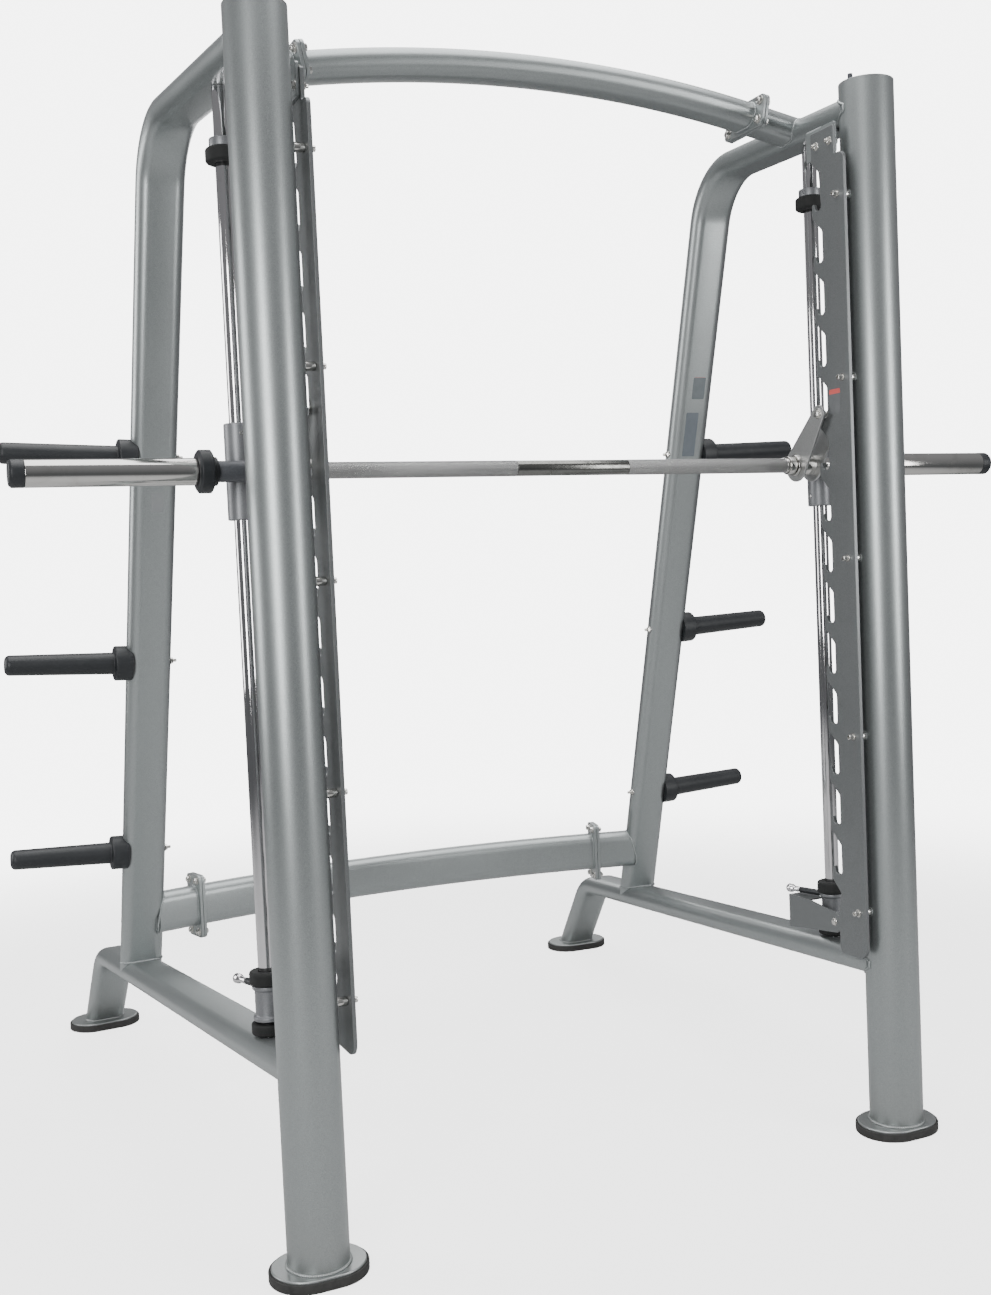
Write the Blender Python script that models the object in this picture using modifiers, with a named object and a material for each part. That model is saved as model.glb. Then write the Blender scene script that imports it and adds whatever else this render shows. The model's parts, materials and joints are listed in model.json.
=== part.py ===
"""Smith machine: a bar that slides on two chrome rods between two round columns, with splayed side frames."""

import math

import bmesh
import bpy
from mathutils import Matrix, Vector

# Driving dimensions, in metres. X runs across the machine, Y back from the columns, and Z up from the floor.
# At the end everything moves forwards by CENTRE_Y, which puts the origin under the middle of the machine.
COLUMN_X = 0.660
COLUMN_RADIUS = 0.05715
COLUMN_WALL = 0.003
COLUMN_TOP = 2.257
OVAL_WIDTH = 0.106
OVAL_DEPTH = 0.054
OVAL_WALL = 0.003
SIDE_X = 0.655
SIDE_SPLAY = 0.0671
TOP_RAIL_Z = 2.202
TOP_RAIL_RISE = 0.066
UPPER_BEND = 0.16
UPRIGHT_Y = 1.2205
UPRIGHT_LEAN = -0.318
LOWER_RAIL_Z = 0.3725
LOWER_RAIL_FALL = -0.081
LOWER_BEND = 0.13
REAR_BEND_Y = 1.565
REAR_FOOT_Y = 1.74
PLATE_TOP = 0.022
ROD_X = 0.673
ROD_Y = 0.218
ROD_RADIUS = 0.016
BAR_Y = 0.147
BAR_Z = 1.4646
BAR_RADIUS = 0.016
BAR_HALF = 1.100
SLEEVE_RADIUS = 0.025
SLEEVE_START = 0.770
BOSS_START = 0.655
BOSS_END = 0.7335
HOUSING_BOTTOM = 1.3775
HOUSING_TOP = 1.560
CATCH_X = 0.578
CATCH_THICKNESS = 0.008
SLOT_COUNT = 14
SLOT_PITCH = 0.1105
SLOT_FIRST_Z = 0.564
PIN_Y = 0.062
PIN_Z = 1.5675
HORN_HEIGHTS = {"top": 1.555, "middle": 1.080, "bottom": 0.600}
STOP_BOTTOM = 0.4135
STOP_TOP = 0.482
GAP = 0.0003
CENTRE_Y = 0.868

SIDES = {"left": -1, "right": 1}


def clear_scene():
    for obj in list(bpy.data.objects):
        bpy.data.objects.remove(obj, do_unlink=True)


def new_collection(name, hidden=False):
    collection = bpy.data.collections.new(name)
    collection.hide_render = hidden
    bpy.context.scene.collection.children.link(collection)
    return collection


def new_material(name, colour, roughness, metallic):
    material = bpy.data.materials.new(name)
    material.use_nodes = True
    shader = material.node_tree.nodes["Principled BSDF"]
    shader.inputs["Base Color"].default_value = (*colour, 1.0)
    shader.inputs["Roughness"].default_value = roughness
    shader.inputs["Metallic"].default_value = metallic
    return material


def add_object(name, mesh, finish):
    obj = bpy.data.objects.new(name, mesh)
    PARTS.objects.link(obj)
    colour, roughness, metallic = FINISHES[finish]
    obj.data.materials.clear()
    obj.data.materials.append(new_material(name + "_" + finish, colour, roughness, metallic))
    return obj


def as_tool(obj):
    """Moves an object to the hidden collection of cutters and joiners."""
    PARTS.objects.unlink(obj)
    TOOLS.objects.link(obj)
    obj.hide_render = True
    obj.display_type = "WIRE"
    return obj


def boolean(obj, tool, operation):
    modifier = obj.modifiers.new(operation.lower() + "_" + tool.name, "BOOLEAN")
    modifier.operation = operation
    modifier.object = tool
    modifier.solver = "EXACT"
    return obj


def cut(obj, tool):
    return boolean(obj, tool, "DIFFERENCE")


def join(obj, tool):
    return boolean(obj, tool, "UNION")


def smooth(mesh, angle=40):
    mesh.shade_smooth()
    mesh.set_sharp_from_angle(angle=math.radians(angle))


def axis_turn(direction):
    """The rotation that lays local Z along a direction."""
    return Vector(direction).to_track_quat("Z", "Y").to_euler()


def cylinder(name, finish, radius, start, end, segments=24):
    """A plain cylinder between two points."""
    start = Vector(start)
    end = Vector(end)
    mesh = bpy.data.meshes.new(name)
    shape = bmesh.new()
    bmesh.ops.create_cone(
        shape,
        cap_ends=True,
        segments=segments,
        radius1=radius,
        radius2=radius,
        depth=(end - start).length,
    )
    shape.to_mesh(mesh)
    shape.free()
    smooth(mesh)
    obj = add_object(name, mesh, finish)
    obj.location = (start + end) / 2
    obj.rotation_euler = axis_turn(end - start)
    return obj


def block(name, finish, low, high, bevel=0.0):
    """A box between two corners, with its edges bevelled."""
    low = Vector(low)
    high = Vector(high)
    mesh = bpy.data.meshes.new(name)
    shape = bmesh.new()
    bmesh.ops.create_cube(shape, size=1.0)
    bmesh.ops.scale(shape, vec=high - low, verts=shape.verts)
    shape.to_mesh(mesh)
    shape.free()
    obj = add_object(name, mesh, finish)
    obj.location = (low + high) / 2
    if bevel:
        modifier = obj.modifiers.new("edges", "BEVEL")
        modifier.width = bevel
        modifier.segments = 2
    return obj


def turned(name, finish, profile, origin, direction, closed=False, segments=20):
    """A profile of (radius, height) turned about a line. It runs down its outer side."""
    count = len(profile)
    edges = [(i, i + 1) for i in range(count - 1)]
    if closed:
        edges.append((count - 1, 0))
    mesh = bpy.data.meshes.new(name)
    mesh.from_pydata([(radius, 0.0, height) for radius, height in profile], edges, [])
    obj = add_object(name, mesh, finish)
    obj.location = origin
    obj.rotation_euler = axis_turn(direction)
    screw = obj.modifiers.new("turn", "SCREW")
    screw.steps = segments
    screw.render_steps = segments
    screw.use_merge_vertices = True
    screw.merge_threshold = 0.00005
    screw.use_smooth_shade = True
    return obj


def ring_profile(inner, outer, bottom, top, chamfer=0.001):
    """A tube wall, closed, with its outer edges chamfered."""
    return [
        (inner, top),
        (outer - chamfer, top),
        (outer, top - chamfer),
        (outer, bottom + chamfer),
        (outer - chamfer, bottom),
        (inner, bottom),
    ]


def stadium(width, depth, steps=5):
    """The outline of a flat-oval tube: two half circles joined by flats, wide along local X."""
    radius = depth / 2
    reach = width / 2 - radius
    points = []
    for sign, first in ((1, -90), (-1, 90)):
        for i in range(steps + 1):
            angle = math.radians(first + 180 * i / steps)
            points.append((sign * reach + radius * math.cos(angle), radius * math.sin(angle)))
    return points


def mesh_from_curve(obj):
    """A mesh with the same shape as an evaluated curve, its seams welded."""
    bpy.context.view_layer.update()
    graph = bpy.context.evaluated_depsgraph_get()
    mesh = bpy.data.meshes.new_from_object(obj.evaluated_get(graph))
    shape = bmesh.new()
    shape.from_mesh(mesh)
    bmesh.ops.remove_doubles(shape, verts=shape.verts, dist=0.00001)
    bmesh.ops.recalc_face_normals(shape, faces=shape.faces)
    shape.to_mesh(mesh)
    shape.free()
    return mesh


def poly_curve(name, points, cyclic, dimensions):
    curve = bpy.data.curves.new(name, "CURVE")
    curve.dimensions = dimensions
    spline = curve.splines.new("POLY")
    spline.points.add(len(points) - 1)
    for spot, point in zip(spline.points, points):
        spot.co = (*point, 0.0, 1.0) if len(point) == 2 else (*point, 1.0)
    spline.use_cyclic_u = cyclic
    return curve


def outline(name, finish, points, thickness, bevel=0.0):
    """A flat outline in local XY, given a thickness along local Z."""
    curve = poly_curve(name + "_outline", points, True, "2D")
    curve.fill_mode = "BOTH"
    curve.extrude = thickness / 2
    guide = bpy.data.objects.new(name + "_outline", curve)
    TOOLS.objects.link(guide)
    mesh = mesh_from_curve(guide)
    bpy.data.objects.remove(guide, do_unlink=True)
    obj = add_object(name, mesh, finish)
    if bevel:
        modifier = obj.modifiers.new("edges", "BEVEL")
        modifier.width = bevel
        modifier.segments = 1
        modifier.limit_method = "ANGLE"
        modifier.angle_limit = math.radians(50)
    return obj


def stand_across(obj, x, y=0.0, z=0.0):
    """Stands a flat outline up, so that its local X is world Y and its local Y is world Z."""
    obj.rotation_euler = (math.pi / 2, 0.0, math.pi / 2)
    obj.location = (x, y, z)
    return obj


def swept(name, finish, path, section, wall):
    """A section carried along a path: a hollow tube with open ends, or a solid where wall is 0."""
    shape_curve = poly_curve(name + "_section", section, True, "2D")
    shape = bpy.data.objects.new(name + "_section", shape_curve)
    curve = poly_curve(name + "_path", path, False, "3D")
    curve.twist_mode = "Z_UP"
    curve.bevel_mode = "OBJECT"
    curve.bevel_object = shape
    curve.use_fill_caps = wall == 0
    guide = bpy.data.objects.new(name + "_path", curve)
    TOOLS.objects.link(shape)
    TOOLS.objects.link(guide)
    mesh = mesh_from_curve(guide)
    bpy.data.objects.remove(guide, do_unlink=True)
    bpy.data.objects.remove(shape, do_unlink=True)
    smooth(mesh)
    obj = add_object(name, mesh, finish)
    if wall:
        modifier = obj.modifiers.new("wall", "SOLIDIFY")
        modifier.thickness = wall
        modifier.offset = -1.0
        modifier.use_even_offset = True
    return obj


def bent_path(corners, radius, steps=7):
    """A line through three corners with an arc of the given radius at the middle one."""
    first, middle, last = [Vector(corner) for corner in corners]
    before = (first - middle).normalized()
    after = (last - middle).normalized()
    angle = before.angle(after)
    reach = radius / math.tan(angle / 2)
    bisector = (before + after).normalized()
    centre = middle + bisector * radius / math.sin(angle / 2)
    start = middle + before * reach
    normal = before.cross(after).normalized()
    points = [first]
    for i in range(steps + 1):
        turn = Matrix.Rotation(-(math.pi - angle) * i / steps, 3, normal)
        points.append(centre + turn @ (start - centre))
    points.append(last)
    return [tuple(point) for point in points]


def side_point(side, y, z):
    """A point in the plane of a side frame, which splays outwards towards the back."""
    return (side * (SIDE_X + SIDE_SPLAY * y), y, z)


def upright_y(z):
    return UPRIGHT_Y + UPRIGHT_LEAN * (z - 0.4)


def lower_rail_z(y):
    return LOWER_RAIL_Z + LOWER_RAIL_FALL * y


def upright_path(side):
    """Back from the column along the top rail, round the bend, and down to the lower rail."""
    corner_z = TOP_RAIL_Z
    for _ in range(20):
        corner_z = TOP_RAIL_Z + TOP_RAIL_RISE * upright_y(corner_z)
    foot_z = 0.28
    return bent_path(
        [
            side_point(side, 0.0, TOP_RAIL_Z),
            side_point(side, upright_y(corner_z), corner_z),
            side_point(side, upright_y(foot_z), foot_z),
        ],
        UPPER_BEND,
    )


def lower_rail_path(side):
    """Back from the column along the lower rail, and down to the rear foot."""
    slope = (REAR_FOOT_Y - REAR_BEND_Y) / (lower_rail_z(REAR_BEND_Y) - PLATE_TOP)
    low = 0.005
    return bent_path(
        [
            side_point(side, 0.0, lower_rail_z(0.0)),
            side_point(side, REAR_BEND_Y, lower_rail_z(REAR_BEND_Y)),
            side_point(side, REAR_FOOT_Y + slope * (PLATE_TOP - low), low),
        ],
        LOWER_BEND,
    )


def arc_path(bar, steps=8):
    """An arc from -end_x to end_x, its middle moved by bow in a direction. It ends inside its plates."""
    radius = (bar["end_x"] ** 2 + bar["bow"] ** 2) / (2 * bar["bow"])
    half = math.asin(bar["end_x"] / radius)
    points = []
    for i in range(steps + 1):
        angle = (half - 0.004 / radius) * (2 * i / steps - 1)
        rise = radius * (math.cos(angle) - math.cos(half))
        end = Vector((radius * math.sin(angle), bar["end_y"], bar["z"]))
        points.append(tuple(end + Vector(bar["towards"]) * rise))
    return points


def arc_end(bar, side):
    """The direction in which an arc_path leaves its end on one side."""
    radius = (bar["end_x"] ** 2 + bar["bow"] ** 2) / (2 * bar["bow"])
    half = math.asin(bar["end_x"] / radius)
    return Vector((side * math.cos(half), 0, 0)) - Vector(bar["towards"]) * math.sin(half)


def turn_section(section):
    """The same section with its wide way upright."""
    return [(-y, x) for x, y in section]


def rounded_rectangle(width, height, radius, steps=2):
    points = []
    for cx, cy, first in ((1, 1, 0), (-1, 1, 90), (-1, -1, 180), (1, -1, 270)):
        for i in range(steps + 1):
            angle = math.radians(first + 90 * i / steps)
            points.append(
                (
                    cx * (width / 2 - radius) + radius * math.cos(angle),
                    cy * (height / 2 - radius) + radius * math.sin(angle),
                )
            )
    return points


def flange(name, centre, direction, across, height, bolts):
    """A bolting plate square to a direction, with its bolt heads."""
    plate = outline(name, "paint", rounded_rectangle(across, height, 0.012), 0.0077)
    facing = Vector(direction).normalized()
    level = Vector((0, 0, 1)).cross(facing).normalized()
    upwards = facing.cross(level)
    frame = Matrix((level, upwards, facing)).transposed()
    plate.rotation_euler = frame.to_euler()
    plate.location = Vector(centre) + facing * (0.004 + GAP / 2)
    vent = cylinder(
        f"{name}_vent",
        "paint",
        0.012,
        Vector(centre) - facing * 0.02,
        Vector(centre) + facing * 0.03,
        8,
    )
    cut(plate, as_tool(vent))
    for index, (u, v) in enumerate(bolts):
        spot = Vector(centre) + level * u + upwards * v + facing * 0.004
        head = cylinder(
            f"{name}_bolt_{index}", "paint", 0.0085, spot, spot + facing * 0.0145, 6
        )
        join(plate, as_tool(head))
    return plate


def column_cutter(name, side):
    x = side * COLUMN_X
    cutter = cylinder(name, "paint", COLUMN_RADIUS + 2 * GAP, (x, 0, -0.1), (x, 0, 2.5), 32)
    return as_tool(cutter)


def make_column(label, side):
    """A round tube with the five welded standoffs that carry the catch plate."""
    x = side * COLUMN_X
    wall = ring_profile(
        COLUMN_RADIUS - COLUMN_WALL, COLUMN_RADIUS, PLATE_TOP + GAP, COLUMN_TOP, 0.0008
    )
    column = turned(f"{label}_column", "paint", wall, (x, 0, 0), (0, 0, 1), True, 32)
    for index, z in enumerate(BOLT_HEIGHTS):
        start = (side * (COLUMN_X - COLUMN_RADIUS + 0.0016), 0, z)
        end = (side * (CATCH_X + CATCH_THICKNESS / 2 + GAP), 0, z)
        join(column, as_tool(cylinder(f"{label}_standoff_{index}", "paint", 0.009, start, end, 8)))


def make_column_cap(label, side):
    """A recessed disc with two upright studs."""
    x = side * COLUMN_X
    radius = COLUMN_RADIUS - COLUMN_WALL - GAP
    cap = turned(
        f"{label}_column_cap",
        "dark",
        [(0, 2.249), (radius - 0.001, 2.249), (radius, 2.248), (radius, 2.242), (0, 2.242)],
        (x, 0, 0),
        (0, 0, 1),
        segments=24,
    )
    for index, way in enumerate((-1, 1)):
        spot = (x + way * 0.047, way * 0.008, 0)
        stud = turned(
            f"{label}_stud_{index}",
            "dark",
            [(0, 2.269), (0.003, 2.269), (0.0055, 2.266), (0.0055, 2.245), (0, 2.245)],
            spot,
            (0, 0, 1),
            segments=8,
        )
        join(cap, as_tool(stud))


def make_foot(label, side, x, y, length, width, turn):
    """A painted plate and the rubber tray that it sits in."""
    shape = stadium(length, width, 9)
    plate = outline(f"{label}_foot_plate", "paint", shape, PLATE_TOP - 0.0103, 0.0015)
    plate.location = (x, y, (PLATE_TOP + 0.0103) / 2)
    plate.rotation_euler.z = turn
    pad = outline(
        f"{label}_foot_pad", "rubber", stadium(length + 0.009, width + 0.009, 9), 0.018
    )
    pad.location = (x, y, 0.009)
    pad.rotation_euler.z = turn
    recess = outline(
        f"{label}_foot_recess", "rubber", stadium(length + 2 * GAP, width + 2 * GAP, 9), 0.02
    )
    recess.location = (x, y, 0.020)
    recess.rotation_euler.z = turn
    cut(pad, as_tool(recess))


def make_side_frame(label, side):
    """The bent upright with its top rail, and the lower rail with its rear leg."""
    section = stadium(OVAL_WIDTH, OVAL_DEPTH)
    loose = stadium(OVAL_WIDTH + 2 * GAP, OVAL_DEPTH + 2 * GAP)
    rail_cutter = as_tool(
        swept(f"{label}_rail_cutter", "paint", lower_rail_path(side), loose, 0)
    )
    upright_cutter = as_tool(
        swept(f"{label}_upright_cutter", "paint", upright_path(side), loose, 0)
    )
    column_tool = column_cutter(f"{label}_column_cutter", side)
    upright = swept(f"{label}_upright", "paint", upright_path(side), section, OVAL_WALL)
    cut(upright, rail_cutter)
    cut(upright, column_tool)
    rail = swept(f"{label}_lower_rail", "paint", lower_rail_path(side), section, OVAL_WALL)
    cut(rail, column_tool)
    floor = block(
        f"{label}_floor_cutter",
        "paint",
        (side * 0.9 - 0.3, 1.4, -0.1),
        (side * 0.9 + 0.3, 2.1, PLATE_TOP + GAP),
    )
    cut(rail, as_tool(floor))
    return upright_cutter


def make_crossbar(name, bar, section, flange_size, bolts):
    """A bowed tube with a bolting plate at each end."""
    tube = swept(name, "paint", arc_path(bar), section, OVAL_WALL)
    for label, side in SIDES.items():
        facing = arc_end(bar, side)
        centre = Vector((side * bar["end_x"], bar["end_y"], bar["z"]))
        plate = flange(f"{name}_{label}_plate", centre, -facing, *flange_size, bolts)
        join(tube, as_tool(plate))


def make_stub(label, side, name, bar, section, flange_size, bolts, reach, tool):
    """The short tube on a side frame that a crossbar bolts to."""
    facing = arc_end(bar, side)
    centre = Vector((side * bar["end_x"], bar["end_y"], bar["z"]))
    start = centre + facing * 0.0045
    path = [tuple(start), tuple(start + facing * reach)]
    stub = swept(f"{label}_{name}", "paint", path, section, OVAL_WALL)
    join(stub, as_tool(flange(f"{label}_{name}_plate", centre, facing, *flange_size, bolts)))
    cut(stub, tool)


def make_horn(label, side, level, z, tool):
    """A plate horn: a collar against the upright and a round-ended rod that tips up a little."""
    y = upright_y(z)
    base_x = SIDE_X + SIDE_SPLAY * y + OVAL_WIDTH / 2 - 0.012
    tilt = math.radians(2.5)
    direction = (side * math.cos(tilt), 0, math.sin(tilt))
    length = 1.052 - base_x
    collar = 0.040
    profile = [
        (0, length),
        (0.013, length - 0.001),
        (0.0205, length - 0.007),
        (0.0238, length - 0.020),
        (0.0262, collar),
        (0.0385, collar),
        (0.0415, collar - 0.003),
        (0.0415, 0),
        (0, 0),
    ]
    horn = turned(
        f"{label}_{level}_horn", "plastic", profile, (side * base_x, y, z), direction, segments=14
    )
    cut(horn, tool)


def make_rod_set(label, side):
    """The guide rod with its upper collar and bumper and its base bumper."""
    x = side * ROD_X
    top = TOP_RAIL_Z + TOP_RAIL_RISE * ROD_Y - OVAL_DEPTH / 2 - 0.0018
    bottom = lower_rail_z(ROD_Y) + OVAL_DEPTH / 2 + 0.0018
    turned(
        f"{label}_guide_rod",
        "chrome",
        [(0, top), (ROD_RADIUS, top), (ROD_RADIUS, bottom), (0, bottom)],
        (x, ROD_Y, 0),
        (0, 0, 1),
        segments=24,
    )
    bore = ROD_RADIUS + GAP
    turned(
        f"{label}_upper_collar",
        "plate",
        ring_profile(bore, 0.026, 2.0745, 2.092, 0.002),
        (x, ROD_Y, 0),
        (0, 0, 1),
        True,
        20,
    )
    turned(
        f"{label}_upper_bumper",
        "rubber",
        ring_profile(bore, 0.034, 2.046, 2.0742, 0.005),
        (x, ROD_Y, 0),
        (0, 0, 1),
        True,
        20,
    )
    turned(
        f"{label}_base_bumper",
        "rubber",
        ring_profile(bore, 0.034, bottom + 0.002, 0.4085, 0.003),
        (x, ROD_Y, 0),
        (0, 0, 1),
        True,
        20,
    )


def catch_outline():
    """Front edge, rounded lower corner, and the row of upward hooks along the rear edge."""
    front = -0.025
    rear = 0.084
    wall = 0.052
    bottom = 0.390
    corner = 0.028
    points = [(0.060, bottom)]
    for i in range(7):
        angle = math.radians(270 - 90 * i / 6)
        points.append(
            (front + corner + corner * math.cos(angle), bottom + corner + corner * math.sin(angle))
        )
    shoulder = 2.105
    for i in range(7):
        angle = math.radians(180 - 90 * i / 6)
        points.append(
            (
                front + corner + corner * math.cos(angle),
                shoulder - corner + corner * math.sin(angle),
            )
        )
    points += [(0.006, shoulder + 0.004), (0.006, 2.165), (rear - 0.002, 2.165)]
    points.append((rear - 0.002, 2.105))
    points.append((wall + 0.006, 2.080))
    radius = 0.0095
    for index in reversed(range(SLOT_COUNT)):
        z = SLOT_FIRST_Z + SLOT_PITCH * index
        for i in range(5):
            angle = math.radians(180 + 150 * i / 4)
            points.append(
                (
                    wall + radius + radius * math.cos(angle),
                    z + radius + radius * math.sin(angle),
                )
            )
        points.append((rear - 0.004, z + 0.0165))
        points.append((rear, z + 0.0140))
        points.append((rear, z - 0.0145))
        if index:
            points.append((wall, z - SLOT_PITCH + 0.0660))
    points.append((0.056, SLOT_FIRST_Z - 0.042))
    points.append((0.066, SLOT_FIRST_Z - 0.080))
    points.append((0.066, bottom + 0.012))
    return points


def make_catch(label, side):
    """A notched catch plate with its screws, and the angle bracket that holds its top."""
    plate = outline(f"{label}_catch_plate", "plate", catch_outline(), CATCH_THICKNESS)
    stand_across(plate, side * CATCH_X)
    inner = CATCH_X - CATCH_THICKNESS / 2
    spots = [(0.0, z) for z in BOLT_HEIGHTS] + [(0.020, 2.135), (0.064, 2.135)]
    for index, (y, z) in enumerate(spots):
        screw = cylinder(
            f"{label}_catch_screw_{index}",
            "plate",
            0.0055,
            (side * (inner + 0.004), y, z),
            (side * (inner - 0.012), y, z),
            8,
        )
        join(plate, as_tool(screw))
    outer = CATCH_X + CATCH_THICKNESS / 2 + GAP
    bracket = block(
        f"{label}_catch_bracket",
        "paint",
        (min(side * outer, side * (outer + 0.006)), 0.010, 2.112),
        (max(side * outer, side * (outer + 0.006)), 0.108, 2.1755),
    )
    shelf = block(
        f"{label}_catch_shelf",
        "paint",
        (min(side * outer, side * 0.640), 0.0605, 2.1725),
        (max(side * outer, side * 0.640), 0.108, 2.1785),
    )
    join(bracket, as_tool(shelf))


def make_carriage(label, side):
    """A bearing housing on the rod and, in front of it, the boss that the bar turns in."""
    housing = turned(
        f"{label}_carriage",
        "dark",
        ring_profile(ROD_RADIUS + 0.0005, 0.027, HOUSING_BOTTOM, HOUSING_TOP, 0.002),
        (side * ROD_X, ROD_Y, 0),
        (0, 0, 1),
        True,
        20,
    )
    web = block(
        f"{label}_web",
        "dark",
        (side * 0.694 - 0.032, BAR_Y + 0.0175, BAR_Z - 0.016),
        (side * 0.694 + 0.032, ROD_Y - 0.0200, BAR_Z + 0.016),
    )
    boss = turned(
        f"{label}_boss",
        "dark",
        ring_profile(BAR_RADIUS + GAP, 0.0195, BOSS_START, BOSS_END, 0.001),
        (0, BAR_Y, BAR_Z),
        (side, 0, 0),
        True,
        20,
    )
    join(housing, as_tool(web))
    join(housing, as_tool(boss))


def make_bar():
    """The shaft, stepped down at its ends for the sleeves. Its origin is on the turning axis."""
    end = BAR_HALF - 0.012
    profile = [(0, end), (0.0125, end)]
    profile += [(0.0125, SLEEVE_START + 0.002), (BAR_RADIUS, SLEEVE_START + 0.002)]
    profile += [(BAR_RADIUS, -SLEEVE_START - 0.002), (0.0125, -SLEEVE_START - 0.002)]
    profile += [(0.0125, -end), (0, -end)]
    turned("bar_shaft", "chrome", profile, (0, BAR_Y, BAR_Z), (1, 0, 0), segments=24)


def make_bar_end(label, side):
    """A sleeve, its black flange and its end cap."""
    place = (0, BAR_Y, BAR_Z)
    way = (side, 0, 0)
    turned(
        f"{label}_sleeve",
        "chrome",
        ring_profile(0.0125 + GAP, SLEEVE_RADIUS, SLEEVE_START + 0.0025, 1.0735, 0.0006),
        place,
        way,
        True,
        24,
    )
    inner = BAR_RADIUS + GAP
    turned(
        f"{label}_sleeve_flange",
        "plastic",
        [
            (inner, SLEEVE_START + 0.0015),
            (0.030, SLEEVE_START + 0.0015),
            (0.040, SLEEVE_START - 0.008),
            (0.040, SLEEVE_START - 0.022),
            (0.029, BOSS_END + 0.0008),
            (inner, BOSS_END + 0.0008),
        ],
        place,
        way,
        True,
        24,
    )
    turned(
        f"{label}_end_cap",
        "plastic",
        [
            (0, BAR_HALF),
            (0.0205, BAR_HALF),
            (0.0245, BAR_HALF - 0.0035),
            (0.0252, BAR_HALF - 0.010),
            (0.0252, 1.0738),
            (0.0125 + GAP, 1.0738),
            (0.0125 + GAP, BAR_HALF - 0.0115),
            (0, BAR_HALF - 0.0115),
        ],
        place,
        way,
        segments=24,
    )


def hook_outline():
    """The hull of a large circle about the bar and a small one about the pin."""
    start = Vector((0.0, 0.0))
    end = Vector((PIN_Y - BAR_Y, PIN_Z - BAR_Z))
    large = 0.036
    small = 0.019
    along = math.atan2(end.y, end.x)
    spread = math.acos((large - small) / (end - start).length)
    points = []
    for i in range(13):
        angle = along + spread + (2 * math.pi - 2 * spread) * i / 12
        points.append((large * math.cos(angle), large * math.sin(angle)))
    for i in range(7):
        angle = along - spread + 2 * spread * i / 6
        points.append((end.x + small * math.cos(angle), end.y + small * math.sin(angle)))
    return points


def make_hook(label, side):
    """Two teardrop plates on a hub, with a pin in two halves that meet the catch plate's faces."""
    hook = outline(f"{label}_hook", "plate", hook_outline(), 0.005)
    stand_across(hook, side * 0.5585, BAR_Y, BAR_Z)
    outer = outline(f"{label}_hook_outer", "plate", hook_outline(), 0.005)
    stand_across(outer, side * 0.5995, BAR_Y, BAR_Z)
    hub = cylinder(
        f"{label}_hub", "plate", 0.022, (side * 0.5590, BAR_Y, BAR_Z), (side * 0.5990, BAR_Y, BAR_Z)
    )
    join(hook, as_tool(outer))
    join(hook, as_tool(hub))
    inner_face = CATCH_X - CATCH_THICKNESS / 2 - 0.0008
    outer_face = CATCH_X + CATCH_THICKNESS / 2 + 0.0008
    spans = ((0.5492, inner_face, 0.008), (outer_face, 0.600, 0.008), (0.5490, 0.558, 0.012))
    for index, (start, end, radius) in enumerate(spans):
        pin = cylinder(
            f"{label}_pin_{index}",
            "plate",
            radius,
            (side * start, PIN_Y, PIN_Z),
            (side * end, PIN_Y, PIN_Z),
            10,
        )
        join(hook, as_tool(pin))
    bore = cylinder(
        f"{label}_hook_bore",
        "plate",
        BAR_RADIUS + GAP,
        (side * 0.54, BAR_Y, BAR_Z),
        (side * 0.62, BAR_Y, BAR_Z),
        20,
    )
    cut(hook, as_tool(bore))


def make_stop(label, side):
    """A safety stop on the rod: spool body, rubber bumper, side bracket and pull knob."""
    x = side * ROD_X
    bore = ROD_RADIUS + 0.0005
    body = turned(
        f"{label}_stop_body",
        "dark",
        [
            (bore, STOP_TOP),
            (0.0295, STOP_TOP),
            (0.0295, STOP_TOP - 0.006),
            (0.025, STOP_TOP - 0.009),
            (0.025, STOP_BOTTOM + 0.009),
            (0.0295, STOP_BOTTOM + 0.006),
            (0.0295, STOP_BOTTOM),
            (bore, STOP_BOTTOM),
        ],
        (x, ROD_Y, 0),
        (0, 0, 1),
        True,
        20,
    )
    lug = block(
        f"{label}_lug",
        "dark",
        (side * 0.636 - 0.007, 0.134, 0.421),
        (side * 0.636 + 0.007, ROD_Y - 0.004, 0.445),
    )
    arm = block(
        f"{label}_arm",
        "dark",
        (min(side * 0.630, side * 0.665), 0.180, 0.421),
        (max(side * 0.630, side * 0.665), ROD_Y - 0.010, 0.445),
    )
    join(body, as_tool(lug))
    join(body, as_tool(arm))
    rod_hole = cylinder(
        f"{label}_rod_hole", "dark", bore, (x, ROD_Y, 0.38), (x, ROD_Y, 0.52), 20
    )
    cut(body, as_tool(rod_hole))
    turned(
        f"{label}_stop_bumper",
        "rubber",
        ring_profile(bore, 0.034, STOP_TOP + GAP, 0.509, 0.004),
        (x, ROD_Y, 0),
        (0, 0, 1),
        True,
        20,
    )
    make_stop_bracket(label, side)
    make_knob(label, side, body)


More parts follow.
